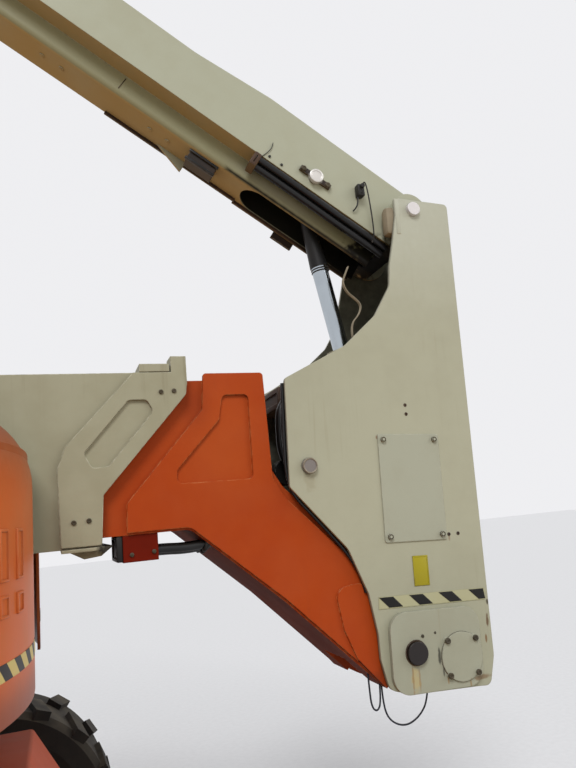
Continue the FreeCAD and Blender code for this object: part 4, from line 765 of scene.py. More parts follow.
WEATHERED = [
    # name, colour, tone, chips and edge highlights, wear and highlight amount, dust, grime and painted
    # underside shade, streaks, roughness, what differs from worn's defaults
    # The pale chip colours of the cream rows, the tower row and the gooseneck row paint highlights along
    # the rounded edges.
    ("cream upright", "cream", (158, 156, 135), PALE_EDGE_HIGHLIGHT, 0.35, 0.2, 0.9, 0.22, 0.5,
     dict(streak_colour=(136, 126, 100))),
    ("cream covers", (162, 163, 146), (152, 150, 132), PALE_EDGE_HIGHLIGHT, 0.6, 0.15, 0.8, 0.2, 0.5,
     dict(streak_colour=(140, 122, 90))),
    ("cream boom", "boom_cream", (160, 160, 138), PALE_EDGE_HIGHLIGHT, 0.3, 0.2, 1.0, 0.2, 0.45, {}),
    ("cream jib", "boom_cream", (158, 156, 132), PALE_EDGE_HIGHLIGHT, 0.6, 0.35, 0.5, 0.35, 0.48, {}),
    ("cream tower", "tower_cream", (142, 137, 112), (220, 215, 192), 0.65, 0.25, 0.9, 0.5, 0.5,
     dict(grime_colour=(116, 94, 60), streak_colour=(122, 114, 90))),
    ("cylinder cream", (156, 152, 128), (120, 104, 74), PALE_EDGE_HIGHLIGHT, 0.9, 0.2, 0.9, 0.35, 0.5,
     dict(grime_colour=(118, 94, 60))),
    ("orange gooseneck", "orange", (156, 54, 8), (214, 150, 96), 0.6, 0.15, 0.95, 0.2, 0.45,
     dict(grime_colour=DARK_RED, streak_colour=(150, 60, 24), shine=0.12)),
    ("orange chassis", (198, 82, 42), (182, 78, 42), PRIMER, 0.6, 0.12, 0.9, 0.35, 0.6,
     dict(grime_colour=(96, 60, 42), streak_colour=(128, 68, 44), shine=0.12)),
    ("orange turntable", (168, 68, 24), (146, 56, 22), PRIMER, 0.6, 0.35, 0.9, 0.35, 0.5,
     dict(grime_colour=DARK_RED)),
    ("orange hood", "hood_orange", (192, 106, 56), (214, 140, 88), 0.25, 0.25, 0.5, 0.3, 0.42,
     dict(grime_colour=(130, 60, 32), streak_colour=(176, 104, 70), unevenness=0.8, grain=0.6)),
    ("orange rim", "rim_orange", (112, 44, 26), PRIMER, 0.8, 0.5, 0.4, 0.35, 0.48,
     dict(grime_colour=(88, 62, 48))),
    ("orange rails", (184, 76, 20), (160, 62, 18), (150, 140, 130), 1.0, 0.25, 0.5, 0.35, 0.42, {}),
    ("tyre rubber", "rubber", (32, 29, 29), (74, 68, 64), 0.5, 0.22, 0.35, 0.15, 0.82,
     dict(unevenness=0.8, grime_colour=(70, 62, 52), grain=1.5, bump=0.0015, streak_colour=(60, 53, 46))),
    ("hose rubber", (8, 8, 9), (18, 17, 17), PRIMER, 0.0, 0.03, 0.0, 0.0, 0.30,
     dict(grain=0.8, shine=0.4)),
    ("lead jacket", (22, 26, 40), (32, 36, 48), PRIMER, 0.0, 0.12, 0.0, 0.0, 0.4, dict(grain=0.5)),
    ("black plastic", (22, 22, 23), (34, 34, 34), (80, 80, 80), 0.4, 0.15, 0.0, 0.1, 0.5, {}),
    ("hose box steel", (106, 20, 0), (82, 14, 0), (40, 26, 20), 0.6, 0.0, 0.6, 0.35, 0.6,
     dict(grime_colour=(48, 16, 10), shine=0.1)),
    ("grey pad", (158, 148, 128), (124, 110, 88), PRIMER, 0.3, 0.2, 0.4, 0.35, 0.6, {}),
    ("red cap", (170, 26, 20), (140, 22, 18), PRIMER, 0.2, 0.1, 0.0, 0.35, 0.35, {}),
    ("tread floor", (120, 116, 108), (84, 78, 70), (190, 188, 184), 1.0, 0.6, 0.5, 0.35, 0.5,
     dict(metallic=0.6)),
    ("pin steel", (120, 112, 104), (100, 92, 84), (210, 208, 204), 0.6, 0.05, 0.2, 0.35, 0.38,
     dict(metallic=0.2, shine=0.5)),
    ("bright steel", (226, 223, 220), (196, 192, 186), (230, 230, 230), 0.2, 0.1, 0.1, 0.1, 0.30,
     dict(metallic=0.4, shine=0.5)),
    ("zinc bolt", (150, 142, 128), (96, 78, 58), (196, 190, 180), 0.5, 0.2, 0.3, 0.35, 0.42,
     dict(metallic=0.55)),
    ("dark bolt", (62, 57, 46), (84, 72, 52), (140, 130, 120), 0.5, 0.15, 0.2, 0.35, 0.5,
     dict(metallic=0.45)),
    ("chrome rod", (184, 192, 198), (158, 164, 170), PRIMER, 0.0, 0.0, 0.0, 0.1, 0.16,
     dict(metallic=1.0, unevenness=0.5, grain=0.2)),
    ("dark steel", (30, 31, 33), (44, 40, 38), (140, 138, 134), 0.6, 0.12, 0.1, 0.35, 0.42,
     dict(metallic=0.3)),
    ("rusty steel", (50, 38, 31), (76, 50, 34), (150, 136, 124), 0.5, 0.15, 0.3, 0.35, 0.6,
     dict(metallic=0.2)),
    ("counterweight iron", (52, 48, 48), (70, 60, 54), (110, 104, 98), 0.7, 0.4, 0.4, 0.35, 0.6,
     dict(grain=2.0, bump=0.0015)),
    ("boom bracket steel", (40, 34, 32), (62, 44, 34), (150, 136, 110), 0.8, 0.1, 0.2, 0.35, 0.5,
     dict(metallic=0.2)),
    ("mark black", (9, 9, 10), (20, 20, 20), (150, 145, 124), 0.3, 0.1, 0.1, 0.35, 0.5, {}),
    ("mark ground", (168, 166, 134), (164, 158, 118), (130, 122, 98), 0.0, 0.1, 0.1, 0.35, 0.5, {}),
    ("yellow plate", "yellow", (150, 140, 62), (90, 80, 40), 0.6, 0.15, 0.2, 0.35, 0.45, {}),
]


def tint(colour):
    """A colour as scene-linear values."""
    return getattr(colours(), colour) if isinstance(colour, str) else srgb(*colour)


def worn(name, colour, tone, chips_and_highlights, wear_and_highlight, dust, grime_and_shade, streaks, roughness, grime_colour="underside_dirt_and_shade",
         streak_colour=None, metallic=0.0, shine=0.25, unevenness=0.6, grain=1.0, bump=0.0006):
    """A weathered finish with its stains and its patches of painted light and shade."""
    tree, shader, place = new_material(name)
    if name in FRAMES:
        pin, lean = FRAMES[name]
        place = tree.turned(place, pin, (0, lean, 0))
    look = tree.group(
        "weathered surface", Vector=place, Colour=tint(colour), Tone=tint(tone), Unevenness=unevenness,
        Chip_colour=tint(chips_and_highlights), Wear=wear_and_highlight, Dust_colour=tint("dust"), Dust=dust,
        Grime_colour=tint(grime_colour), Grime=grime_and_shade, Streak_colour=tint(streak_colour or tone),
        Streaks=streaks, Roughness=roughness, Grain=grain)
    stained_and_shaded = look["Colour"]
    for centre, size, tinted_patch, amount, edge in STAINS_AND_PAINTED_LIGHT.get(name, []):
        ragged, boxed, begin = EDGES[edge]
        mask = tree.group("local patch", Vector=place, Centre=centre, Size=size, Break=ragged,
                          Boxed=boxed, Begin=begin, Amount=amount)["Mask"]
        stained_and_shaded = tree.mix(mask, stained_and_shaded, tint(tinted_patch))
    tree.feed(shader.inputs["Base Color"], stained_and_shaded)
    tree.feed(shader.inputs["Roughness"], look["Roughness"])
    shader.inputs["Metallic"].default_value = metallic
    shader.inputs["Specular IOR Level"].default_value = shine
    uneven = tree.node("Bump", {"Height": look["Height"], "Normal": look["Normal"], "Strength": 0.6,
                                "Distance": bump})
    tree.feed(shader.inputs["Normal"], uneven.outputs[0])


def build_hood_tape():
    """A striped tape; its map holds the length along the tape and the height."""
    tree, shader, _ = new_material("hood tape")
    along = tree.node("UVMap", uv_map="along").outputs[0]
    parts = tree.node("SeparateXYZ", {0: along}).outputs
    slant = tree.plus(parts["X"], parts["Y"])
    wave = tree.math("FRACT", tree.math("DIVIDE", slant, 0.072))
    stripes = tree.smooth(wave, 0.48, 0.52)
    look = tree.group("weathered surface", Vector=along, Colour=srgb(206, 186, 110),
                      Tone=srgb(196, 180, 132), Unevenness=0.6, Chip_colour=srgb(150, 110, 80),
                      Wear=0.5, Dust_colour=tint("dust"), Dust=0.3, Grime=0.0, Streaks=0.0,
                      Grime_colour=srgb(80, 70, 60), Streak_colour=srgb(80, 70, 60), Roughness=0.5,
                      Grain=0.5)
    tree.feed(shader.inputs["Base Color"], tree.mix(stripes, look["Colour"], srgb(34, 32, 32)))
    tree.feed(shader.inputs["Roughness"], look["Roughness"])


GROUPS = [build_uneven_tone, build_edge_wear_and_highlight, build_settled_dust, build_underside_grime_and_shade, build_run_streaks,
          build_fine_grain, build_local_patch, build_weathered_surface]

FINISHES = {
    # finish: CAD nodes that have it
    "cream upright": ["upright_frame"],
    "cream covers": ["upright_covers"],
    "cream boom": ["main_boom_base"],
    "cream jib": ["main_boom_fly", "jib_arm", "jib_link"],
    "cream tower": ["tower_boom_base"],
    "cylinder cream": ["main_lift_barrel", "tower_lift_barrel", "jib_lift_barrel"],
    "orange gooseneck": ["tower_fly"],
    "orange chassis": ["chassis_frame", "front_axle", "rear_axle", "knuckle_left", "knuckle_right"],
    "orange turntable": ["turntable_frame", "jib_base", "platform_support"],
    "orange hood": ["hood_left", "hood_right"],
    "orange rim": [f"rim_{end}_{tag}" for end, _, tag in WHEELS],
    "orange rails": ["rail_front", "rail_rear", "rail_left", "rail_right", "platform_gate"],
    "tyre rubber": [f"tyre_{end}_{tag}" for end, _, tag in WHEELS],
    "hose rubber": ["boom_hose_sleeve"],
    "hose box steel": ["hose_box"],
    "pin steel": ["upright_pins"],
    "chrome rod": ["main_lift_rod", "tower_lift_rod", "jib_lift_rod"],
    "dark steel": ["main_lift_rod_end", "level_rod", "tie_rod", "slew_ring", "engine_block",
                   "tank_block"],
    "counterweight iron": ["counterweight"],
    "boom bracket steel": ["boom_brackets"],
    "black plastic": ["ground_control_box", "platform_console"],
    "tread floor": ["platform_floor"],
}


class LIFT_OT_stage(bpy.types.Operator):
    """Sets up the camera, the lights and the pale floor"""

    bl_idname = "boomlift.stage"
    bl_label = "Stage"

    SUNS = [
        # name, direction of the light, strength, apparent size in degrees
        ("studio_key", (0.28, 0.66, -0.70), 1.8, 24),
        ("studio_fill", (-0.80, 0.40, -0.35), 0.9, 40),
    ]

    SKY = (0.98, 0.99, 1.0)
    SKY_STRENGTH = 0.52
    BACKDROP = (0.86, 0.86, 0.88)
    GROUND_LIGHT = (0.62, 0.53, 0.40)

    CAMERA_PLACE = (1.170, -1.875, 1.413)
    FORWARD = Vector((0.341, 0.9202, 0.1924))
    UPWARD = Vector((0.0208, -0.212, 0.9771))
    SENSOR_HEIGHT = 36
    FOCAL_PIXELS = 650
    PICTURE_HEIGHT = 768

    def execute(self, context):
        scene = context.scene
        scene.view_settings.view_transform = "Standard"
        self.add_camera(scene)
        clear()
        size = sizes().floor_size
        bpy.ops.mesh.primitive_grid_add(x_subdivisions=8, y_subdivisions=8, size=size)
        floor = context.object
        floor.name = "studio_floor"
        tree, shader, place = new_material("studio floor")
        speckle = tree.noise(place, 30.0, 6.0)
        pale = tree.mix(speckle, colours().floor, srgb(214, 214, 216))
        tree.feed(shader.inputs["Base Color"], tree.mix(tree.seen(), self.GROUND_LIGHT, pale))
        shader.inputs["Roughness"].default_value = 0.9
        floor.data.materials.append(bpy.data.materials["studio floor"])
        self.add_lights(scene)
        return {"FINISHED"}

    def add_camera(self, scene):
        clear()
        bpy.ops.object.camera_add()
        camera = bpy.context.object
        camera.name = "photo_camera"
        forward = self.FORWARD.normalized()
        right = forward.cross(self.UPWARD).normalized()
        turn = Matrix((right, right.cross(forward), -forward)).transposed().to_4x4()
        camera.matrix_world = Matrix.Translation(self.CAMERA_PLACE) @ turn
        camera.data.sensor_fit = "VERTICAL"
        camera.data.sensor_height = self.SENSOR_HEIGHT
        camera.data.lens = self.FOCAL_PIXELS / self.PICTURE_HEIGHT * self.SENSOR_HEIGHT
        camera.data.clip_start = 0.05
        scene.camera = camera

    def add_lights(self, scene):
        clear()
        for name, toward, energy, softness in self.SUNS:
            turn = (-Vector(toward)).to_track_quat("Z", "Y").to_euler()
            bpy.ops.object.light_add(type="SUN", rotation=turn)
            sun = bpy.context.object
            sun.name = name
            sun.data.energy = energy
            sun.data.angle = math.radians(softness)
        world = bpy.data.worlds.new("studio")
        scene.world = world
        world.use_nodes = True
        world.node_tree.nodes.clear()
        tree = Tree(world.node_tree)
        soft = tree.node("Background", {"Color": self.SKY, "Strength": self.SKY_STRENGTH})
        white = tree.node("Background", {"Color": self.BACKDROP, "Strength": 1.0})
        mixed = tree.node("MixShader", {0: tree.seen(), 1: soft.outputs[0], 2: white.outputs[0]})
        tree.node("OutputWorld", {"Surface": mixed.outputs[0]})


class LIFT_OT_finishes(bpy.types.Operator):
    """Builds the paints and metals and gives each CAD node its own"""

    bl_idname = "boomlift.finishes"
    bl_label = "Finishes"

    def execute(self, context):
        for build in GROUPS:
            build()
        for *row, more in WEATHERED:
            worn(*row, **more)
        build_hood_tape()
        for finish, nodes in FINISHES.items():
            for node in nodes:
                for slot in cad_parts[node].material_slots:
                    slot.material = bpy.data.materials[finish]
        return {"FINISHED"}


class LIFT_OT_loose_leads(bpy.types.Operator):
    """Hangs the two loose sensor leads below the lower pin"""

    bl_idname = "boomlift.loose_leads"
    bl_label = "Loose leads"

    LEADS = {
        "sensor_lead_short": [(1.958, -0.158, 0.975), (1.957, -0.160, 0.930), (1.958, -0.160, 0.880),
                              (1.974, -0.160, 0.866), (1.988, -0.160, 0.890), (1.990, -0.158, 0.950)],
        "sensor_lead_long": [(1.999, -0.150, 0.940), (1.996, -0.152, 0.880), (2.010, -0.152, 0.835),
                             (2.055, -0.152, 0.812), (2.104, -0.150, 0.828), (2.138, -0.148, 0.868),
                             (2.148, -0.145, 0.930)],
    }

    def execute(self, context):
        for name, points in self.LEADS.items():
            lead = spline_piece(name, points, sizes().loop_diameter / 2)
            fit(lead, "tower_fly", "lead jacket")
        return {"FINISHED"}


class LIFT_OT_upright_marks(bpy.types.Operator):
    """Puts the hazard strip, the yellow plate and the bolt heads on the upright"""

    bl_idname = "boomlift.upright_marks"
    bl_label = "Upright marks"

    STRIP = [(-0.097, 0.118), (0.244, 0.118), (0.249, 0.125), (0.245, 0.132), (0.250, 0.140),
             (0.244, 0.151), (-0.095, 0.151)]
    BARS = [
        # x of the top left, top right, bottom right and bottom left corner
        (-0.094, -0.051, -0.022, -0.065),
        (-0.001, 0.042, 0.073, 0.030),
        (0.093, 0.137, 0.168, 0.128),
        (0.192, 0.242, 0.246, 0.224),
    ]
    BAR_TOP = 0.149
    BAR_BOTTOM = 0.121
    YELLOW_PLATE = ((0.019, 0.068), (0.171, 0.253))
    HEADS = [
        # name, places (x, z), face, top, radius, rounding, inset and depth of the face, finish
        ("lid_bolts", [(0.096, 0.022), (0.186, 0.022), (0.096, -0.068), (0.186, -0.068)],
         LID_SIDE, LID_SIDE + 0.0074, 0.0083, 0.002075, (0.002075, -0.0010375), "dark bolt"),
        ("panel_screws", [(-0.046, 0.309), (0.122, 0.309), (-0.046, 0.583), (0.122, 0.583)],
         PANEL_SIDE, PANEL_SIDE + 0.0074, 0.0083, 0.002075, (0.002075, -0.0010375), "dark bolt"),
        ("plate_plugs", [(0.146, 0.307), (0.177, 0.308), (0.038, 0.686), (0.039, 0.659)],
         UPRIGHT_SIDE - 0.001, UPRIGHT_SIDE + 0.0012, 0.0052, 0.0005, (0.0012, -0.0009), "rusty steel"),
    ]
    COVER_STUDS = [
        # x, z, reach from the middle plane, radius
        (0.023, 0.041, 0.2165, 0.0045),
        (0.063, 0.046, 0.2155, 0.0035),
    ]

    def execute(self, context):
        thick = sizes().tape_thickness
        face = UPRIGHT_SIDE + 0.0002
        for side, tag in SIDES:
            strip = plate(f"upright_strip_{tag}", self.STRIP, side * face, side * (face + thick))
            on_upright(strip, "mark ground")
            for number, (a, b, c, d) in enumerate(self.BARS):
                outline = [(a, self.BAR_TOP), (b, self.BAR_TOP), (c, self.BAR_BOTTOM), (d, self.BAR_BOTTOM)]
                bar = plate(f"upright_bar_{tag}_{number}", outline, side * (face + thick),
                            side * (face + 2 * thick))
                on_upright(bar, "mark black")
            x_range, z_range = self.YELLOW_PLATE
            label = side_block(f"upright_yellow_plate_{tag}", side, x_range, (face, face + 0.0016),
                               z_range, 0.0006)
            on_upright(push_face(label, (0, side, 0), 0.003, -0.0004), "yellow plate")
            for name, places, low, top, radius, bevel, pushed, finish in self.HEADS:
                row = heads(f"{name}_{tag}", side, places, (low, top), radius, bevel, pushed)
                on_upright(row, finish)
            studs = [stub("stud", x, z, side * (COVER_SIDE - 0.001), side * reach, radius, 0.001)
                     for x, z, reach, radius in self.COVER_STUDS]
            on_upright(join(f"cover_studs_{tag}", studs), "dark bolt")
        return {"FINISHED"}


class LIFT_OT_pin_faces(bpy.types.Operator):
    """Adds rims, seals, caps and keeper bolts to the pin heads"""

    bl_idname = "boomlift.pin_faces"
    bl_label = "Pin faces"

    LIFT_PIN = (-0.315, -0.069)
    KEEPER_OFFSET = 0.046
    UPRIGHT_RINGS = [
        # name, x, distance from the middle plane, z, radius, thickness, finish
        ("level_pin_rim", -0.278, 0.2118, 0.511, 0.0195, 0.0024, "zinc bolt"),
        ("lower_pin_seal", 0, 0.2145, 0, 0.0318, 0.0022, "rusty steel"),
        ("lid_gasket", 0.141, 0.2143, -0.023, 0.0655, 0.0007, "rusty steel"),
    ]

    def execute(self, context):
        pin_x, pin_z = self.LIFT_PIN
        for side, tag in SIDES:
            for name, x, y, z, radius, thickness, finish in self.UPRIGHT_RINGS:
                on_upright(ring(f"{name}_{tag}", (x, side * y, z), (0, 1, 0), radius, thickness), finish)
            cap = stub(f"lift_pin_cap_{tag}", pin_x, pin_z, side * 0.1505, side * 0.1545, 0.0232, 0.002, 40)
            on_boom(push_face(cap, (0, side, 0), 0.005, -0.001), "bright steel")
            bolts = [hex_bolt("keeper_bolt", (pin_x + offset, side * 0.1425, pin_z), (0, side, 0))
                     for offset in (-self.KEEPER_OFFSET, self.KEEPER_OFFSET)]
            on_boom(join(f"keeper_bolts_{tag}", bolts), "dark bolt")
        return {"FINISHED"}


class LIFT_OT_boom_fittings(bpy.types.Operator):
    """Adds the hose bundle, the limit switch and the small parts at the root of the main boom"""

    bl_idname = "boomlift.boom_fittings"
    bl_label = "Main boom fittings"

    ROD_EYE = Vector((1.972, 0, 2.444))
    BARREL_PIN = Vector((2.223, 0, 0.979))
    HOSES = [
        # y and height of a hose below the boom
        (-0.1265, -0.1265), (-0.1025, -0.1265), (-0.1150, -0.1475),
    ]
    KEEL_STUDS = (-0.767, -0.831, -1.144, -1.209)
    KEEL_BOTTOM = -0.1845
    WIRE = [
        # x, z
        (2.074, 2.168), (2.060, 2.140), (2.047, 2.112), (2.062, 2.078), (2.090, 2.058),
        (2.106, 2.036), (2.092, 2.004), (2.066, 1.980), (2.060, 1.930), (2.075, 1.860),
    ]

    def execute(self, context):
        self.add_bundle()
        self.add_limit_switch()
        self.add_rod_rings()
        self.add_keel_parts()
        self.add_root_parts()
        return {"FINISHED"}

    def add_bundle(self):
        hoses = []
        for y, z in self.HOSES:
            points = [(-0.508, y, z), (-0.42, y, z + 0.001), (-0.30, y - 0.001, z), (-0.18, y, z - 0.001),
                      (-0.07, y, z), (0.0, y + 0.002, z - 0.001)]
            hoses.append(tube("hose", points, sizes().boom_hose_radius))
        bundle = on_boom(join("boom_hose_bundle", hoses), "hose rubber")
        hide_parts("boom_hose_sleeve")
        clamp = block("boom_hose_clamp", (-0.514, -0.141, -0.163), (-0.490, -0.086, -0.1135), 0.004)
        on_boom(push_face(clamp, (0, -1, 0), 0.006, -0.004), "rusty steel")
        ties = [stub("tie", x, -0.100, -0.1350, -0.1385, 0.0045, 0.001, 12) for x in (-0.470, -0.425)]
        ties.append(tube("tie", [(-0.490, -0.1360, -0.116), (-0.482, -0.1380, -0.096),
                                 (-0.478, -0.1390, -0.070), (-0.484, -0.1380, -0.052)], 0.0012))
        on_boom(join("cable_ties", ties), "black plastic")

    def add_limit_switch(self):
        box = block("limit_switch", (2.106, -0.162, 2.385), (2.130, -0.1352, 2.426), 0.004)
        push_face(box, (0, -1, 0), 0.005, 0.0015)
        boss = stub("boss", 2.119, 2.415, -0.160, -0.173, 0.0075, 0.001)
        fit(join("limit_switch", [box, boss]), "main_boom", "black plastic")
        lever = [(2.119, -0.171, 2.416), (2.124, -0.173, 2.429), (2.131, -0.173, 2.415),
                 (2.137, -0.172, 2.350), (2.141, -0.168, 2.262), (2.139, -0.164, 2.235),
                 (2.133, -0.160, 2.225)]
        fit(tube("switch_lever", lever, 0.0023), "main_boom", "dark steel")
        lead = [(2.108, -0.150, 2.384), (2.106, -0.150, 2.362), (2.098, -0.146, 2.345),
                (2.090, -0.139, 2.338)]
        fit(tube("switch_lead", lead, 0.0024), "main_boom", "hose rubber")

    def add_rod_rings(self):
        rod_top = corners("main_lift_rod")[1].z
        along = (self.BARREL_PIN - self.ROD_EYE).normalized()
        top = self.ROD_EYE + along * ((self.ROD_EYE.z - rod_top) / -along.z)
        bands = [ring("band", top + along * step, along, 0.0285, 0.0022) for step in (0.012, 0.020)]
        fit(join("rod_joint_rings", bands), "main_lift_rod", "dark steel")

    def add_keel_parts(self):
        bottom = self.KEEL_BOTTOM
        lips = [block("lip", (-0.985, 0.044, -0.1960), (-0.495, 0.052, bottom), 0.0015),
                block("lip", (-0.500, 0.060, -0.1930), (-0.030, 0.069, -0.1780), 0.0015)]
        on_boom(join("keel_lip", lips), "rusty steel")
        triangle = [(-0.690, bottom), (-0.690, -0.2230), (-0.800, bottom)]
        on_boom(plate("bracket_gusset", triangle, 0.034, 0.043, 0.001), "cream boom")
        studs = []
        for x in self.KEEL_STUDS:
            stud = post("stud", x, -0.012, bottom, bottom - 0.0045, 0.0085, 0.0015)
            studs.append(push_face(stud, (0, 0, -1), 0.003, 0.001))
        on_boom(join("keel_studs", studs), "cream boom")
        on_boom(block("keel_seam", (-0.9635, -0.0712, -0.166), (-0.9610, -0.0699, -0.122), 0.0003),
                "rusty steel")
        bars = [block("bar", (-0.690, -0.056, -0.2235), (-0.586, -0.046, -0.216), 0.001),
                block("bar", (-0.690, -0.056, -0.194), (-0.586, -0.048, -0.186), 0.001)]
        on_boom(join("bracket_frame", bars), "dark steel")

    def add_root_parts(self):
        for side, tag in SIDES:
            pad = side_block(f"root_side_pad_{tag}", side, (0.036, 0.086), (0.146, 0.1875), (1.240, 1.338),
                             0.016)
            on_upright(pad, "grey pad")
            flange = side_block(f"plate_flange_{tag}", side, (0.062, 0.078), (0.1875, 0.2015),
                                (1.236, 1.358), 0.003)
            on_upright(flange, "cream upright")
        wires = [tube("wire", [(x, y, z) for x, z in self.WIRE], 0.0021) for y in (-0.085, -0.093)]
        fit(join("lift_cylinder_wires", wires), "upright", "grey pad")


class LIFT_OT_tower_fittings(bpy.types.Operator):
    """Adds bolts and hoses to the tower boom and the gooseneck, and trims the front of the upright"""

    bl_idname = "boomlift.tower_fittings"
    bl_label = "Tower fittings"

    COLLAR_BOLTS = [(1.437, 1.750), (1.471, 1.752), (1.212, 1.434), (1.247, 1.436)]
    BOX_BOLTS = [(1.348, 1.344), (1.403, 1.347)]
    WEDGE = [(1.186, 1.3725), (1.234, 1.3460), (1.274, 1.3500), (1.304, 1.3725)]
    HOSES = [
        # y and z where a hose leaves its box
        (-0.145, 1.350), (-0.116, 1.344), (-0.087, 1.352), (-0.058, 1.345),
    ]
    HOSE_RUN = [
        # x, rise above the outlet
        (1.405, 0), (1.440, 0), (1.480, -0.003), (1.515, -0.002), (1.552, 0.002),
    ]
    GAP_HOSES = [
        # x and y of the bend's front
        (-0.312, -0.166), (-0.296, -0.142), (-0.312, -0.118), (-0.296, -0.094), (-0.312, -0.070),
    ]
    GAP_BEND = [
        # distance behind the front, z
        (0.12, 0.745), (0.03, 0.735), (0, 0.690), (-0.002, 0.630), (0, 0.570), (0.02, 0.520),
        (0.10, 0.490),
    ]
    PLATE_EDGE = [
        # x, z
        (-0.341, 0.745), (-0.342, 0.600), (-0.341, 0.452), (-0.260, 0.368), (-0.178, 0.278),
        (-0.150, 0.235), (-0.130, 0.190), (-0.125, 0.165),
    ]

    def execute(self, context):
        for side, tag in SIDES:
            bolts = heads(f"collar_bolts_{tag}", side, self.COLLAR_BOLTS, (0.1975, 0.2020), 0.0062, 0.0018,
                          (0.0016, -0.0012))
            fit(bolts, "tower_boom", "dark bolt")
        fit(plate("collar_bottom_wedge", self.WEDGE, -0.184, 0.184, 0.002), "tower_boom", "cream tower")
        end = block("hose_box_end", (1.3110, -0.164, 1.328), (1.3272, -0.018, 1.3915), 0.003)
        fit(push_face(end, (-1, 0, 0), 0.006, -0.004), "tower_fly", "black plastic")
        bolts = heads("hose_box_bolts", -1, self.BOX_BOLTS, (0.1655, 0.1700), 0.0055, 0.0014)
        fit(bolts, "tower_fly", "dark bolt")
        radius = sizes().tower_hose_radius
        hoses = []
        grommets = []
        for y, z in self.HOSES:
            hoses.append(tube("hose", [(x, y, z + rise) for x, rise in self.HOSE_RUN], radius))
            grommets.append(ring("grommet", (1.540, y, z), (1, 0, -0.3), radius + 0.004, 0.005))
        fit(join("gooseneck_hoses", hoses), "tower_fly", "hose rubber")
        fit(join("gooseneck_grommets", grommets), "tower_fly", "black plastic")
        self.add_gap_parts()
        return {"FINISHED"}

    def add_gap_parts(self):
        hoses = [tube("hose", [(x + behind, y, z) for behind, z in self.GAP_BEND], 0.0125)
                 for x, y in self.GAP_HOSES]
        on_upright(join("upright_front_hoses", hoses), "hose rubber")
        bracket = block("gap_bracket", (-0.310, -0.060, 0.700), (-0.215, 0.150, 0.764), 0.004)
        on_upright(push_face(bracket, (-1, 0, 0), 0.012, -0.006), "rusty steel")
        for side, tag in SIDES:
            edge = [(x, side * 0.1862, z) for x, z in self.PLATE_EDGE]
            on_upright(tube(f"upright_edge_trim_{tag}", edge, 0.0048), "hose rubber")


def hood_path(side, start, inset):
    """The line round a hood's side and tail corner, at a distance inside its skin."""
    corner_x, corner_y = HOOD_CORNER
    radius = HOOD_CORNER_RADIUS - inset
    path = [(start + (corner_x - start) * step / 8, side * (HOOD_SIDE - inset)) for step in range(8)]
    for step in range(37):
        angle = math.radians(90 - step * 2.5)
        path.append((corner_x + radius * math.cos(angle), side * (corner_y + radius * math.sin(angle))))
    path.append((HOOD_TAIL - inset, side * HOOD_MIDDLE_GAP))
    return path


class LIFT_OT_hood_details(bpy.types.Operator):
    """Adds louvres, hazard tape, a belt line and latches to the hoods"""

    bl_idname = "boomlift.hood_details"
    bl_label = "Hood details"

    ROWS = [
        # lowest and highest place of the louvres of one row
        (1.335, 1.430),
        (1.272, 1.312),
    ]
    TAPE = (1.166, 1.196)
    BELT = (1.578, 1.596)
    LATCHES = (-0.70, 0.16)
    LOUVRES = 11
    FIRST_DEGREES = 13
    STEP_DEGREES = 6.2

    def execute(self, context):
        for side, tag in SIDES:
            hood = f"hood_{tag}"
            tape = band(f"hood_tape_{tag}", hood_path(side, -0.30, -0.0006), *self.TAPE, 0.0008)
            fit(tape, hood, "hood tape")
            belt = band(f"hood_belt_{tag}", hood_path(side, -0.66, 0.0125), *self.BELT, 0.007)
            soften(belt, 0.002)
            fit(belt, hood, "orange hood")
            fit(self.louvres(side, tag), hood, "orange hood")
            fit(self.side_vents(side, tag), hood, "orange hood")
            fit(self.latches(side, tag), hood, "black plastic")
        return {"FINISHED"}

    def louvres(self, side, tag):
        depth = sizes().louvre_depth
        corner = Vector((HOOD_CORNER[0], side * HOOD_CORNER[1], 0))
        frames = []
        for low, high in self.ROWS:
            first = block("louvre", (HOOD_TAIL - 0.002, corner.y - 0.019, low),
                          (HOOD_TAIL + depth, corner.y + 0.019, high), 0.0018)
            push_face(first, (1, 0, 0), 0.0034, 0.0008 - depth)
            for step in range(self.LOUVRES):
                angle = side * math.radians(self.FIRST_DEGREES + step * self.STEP_DEGREES)
                turn = placed(corner, angle, "Z") @ Matrix.Translation(-corner)
                frames.append(copied(first, "louvre", turn))
            bpy.data.objects.remove(first)
        return join(f"hood_louvres_{tag}", frames)

    def side_vents(self, side, tag):
        reach = (HOOD_SIDE - 0.001, HOOD_SIDE + 0.005)
        vent = side_block(f"hood_vents_{tag}", side, (-0.52, -0.20), reach, (1.280, 1.302), 0.002)
        return repeated(push_face(vent, (0, side, 0), 0.004, -0.0035), 6, (0, 0, 0.034))

    def latches(self, side, tag):
        parts = []
        face = HOOD_SIDE + 0.010
        for x in self.LATCHES:
            body = side_block("latch", side, (x - 0.035, x + 0.035), (HOOD_SIDE - 0.001, face),
                              (1.195, 1.255), 0.004)
            parts.append(push_face(body, (0, side, 0), 0.008, -0.005))
            parts.append(rod("handle", (x - 0.020, side * face, 1.225), (x + 0.020, side * face, 1.225),
                             0.0045, 0.001, 12))
        return join(f"hood_latches_{tag}", parts)


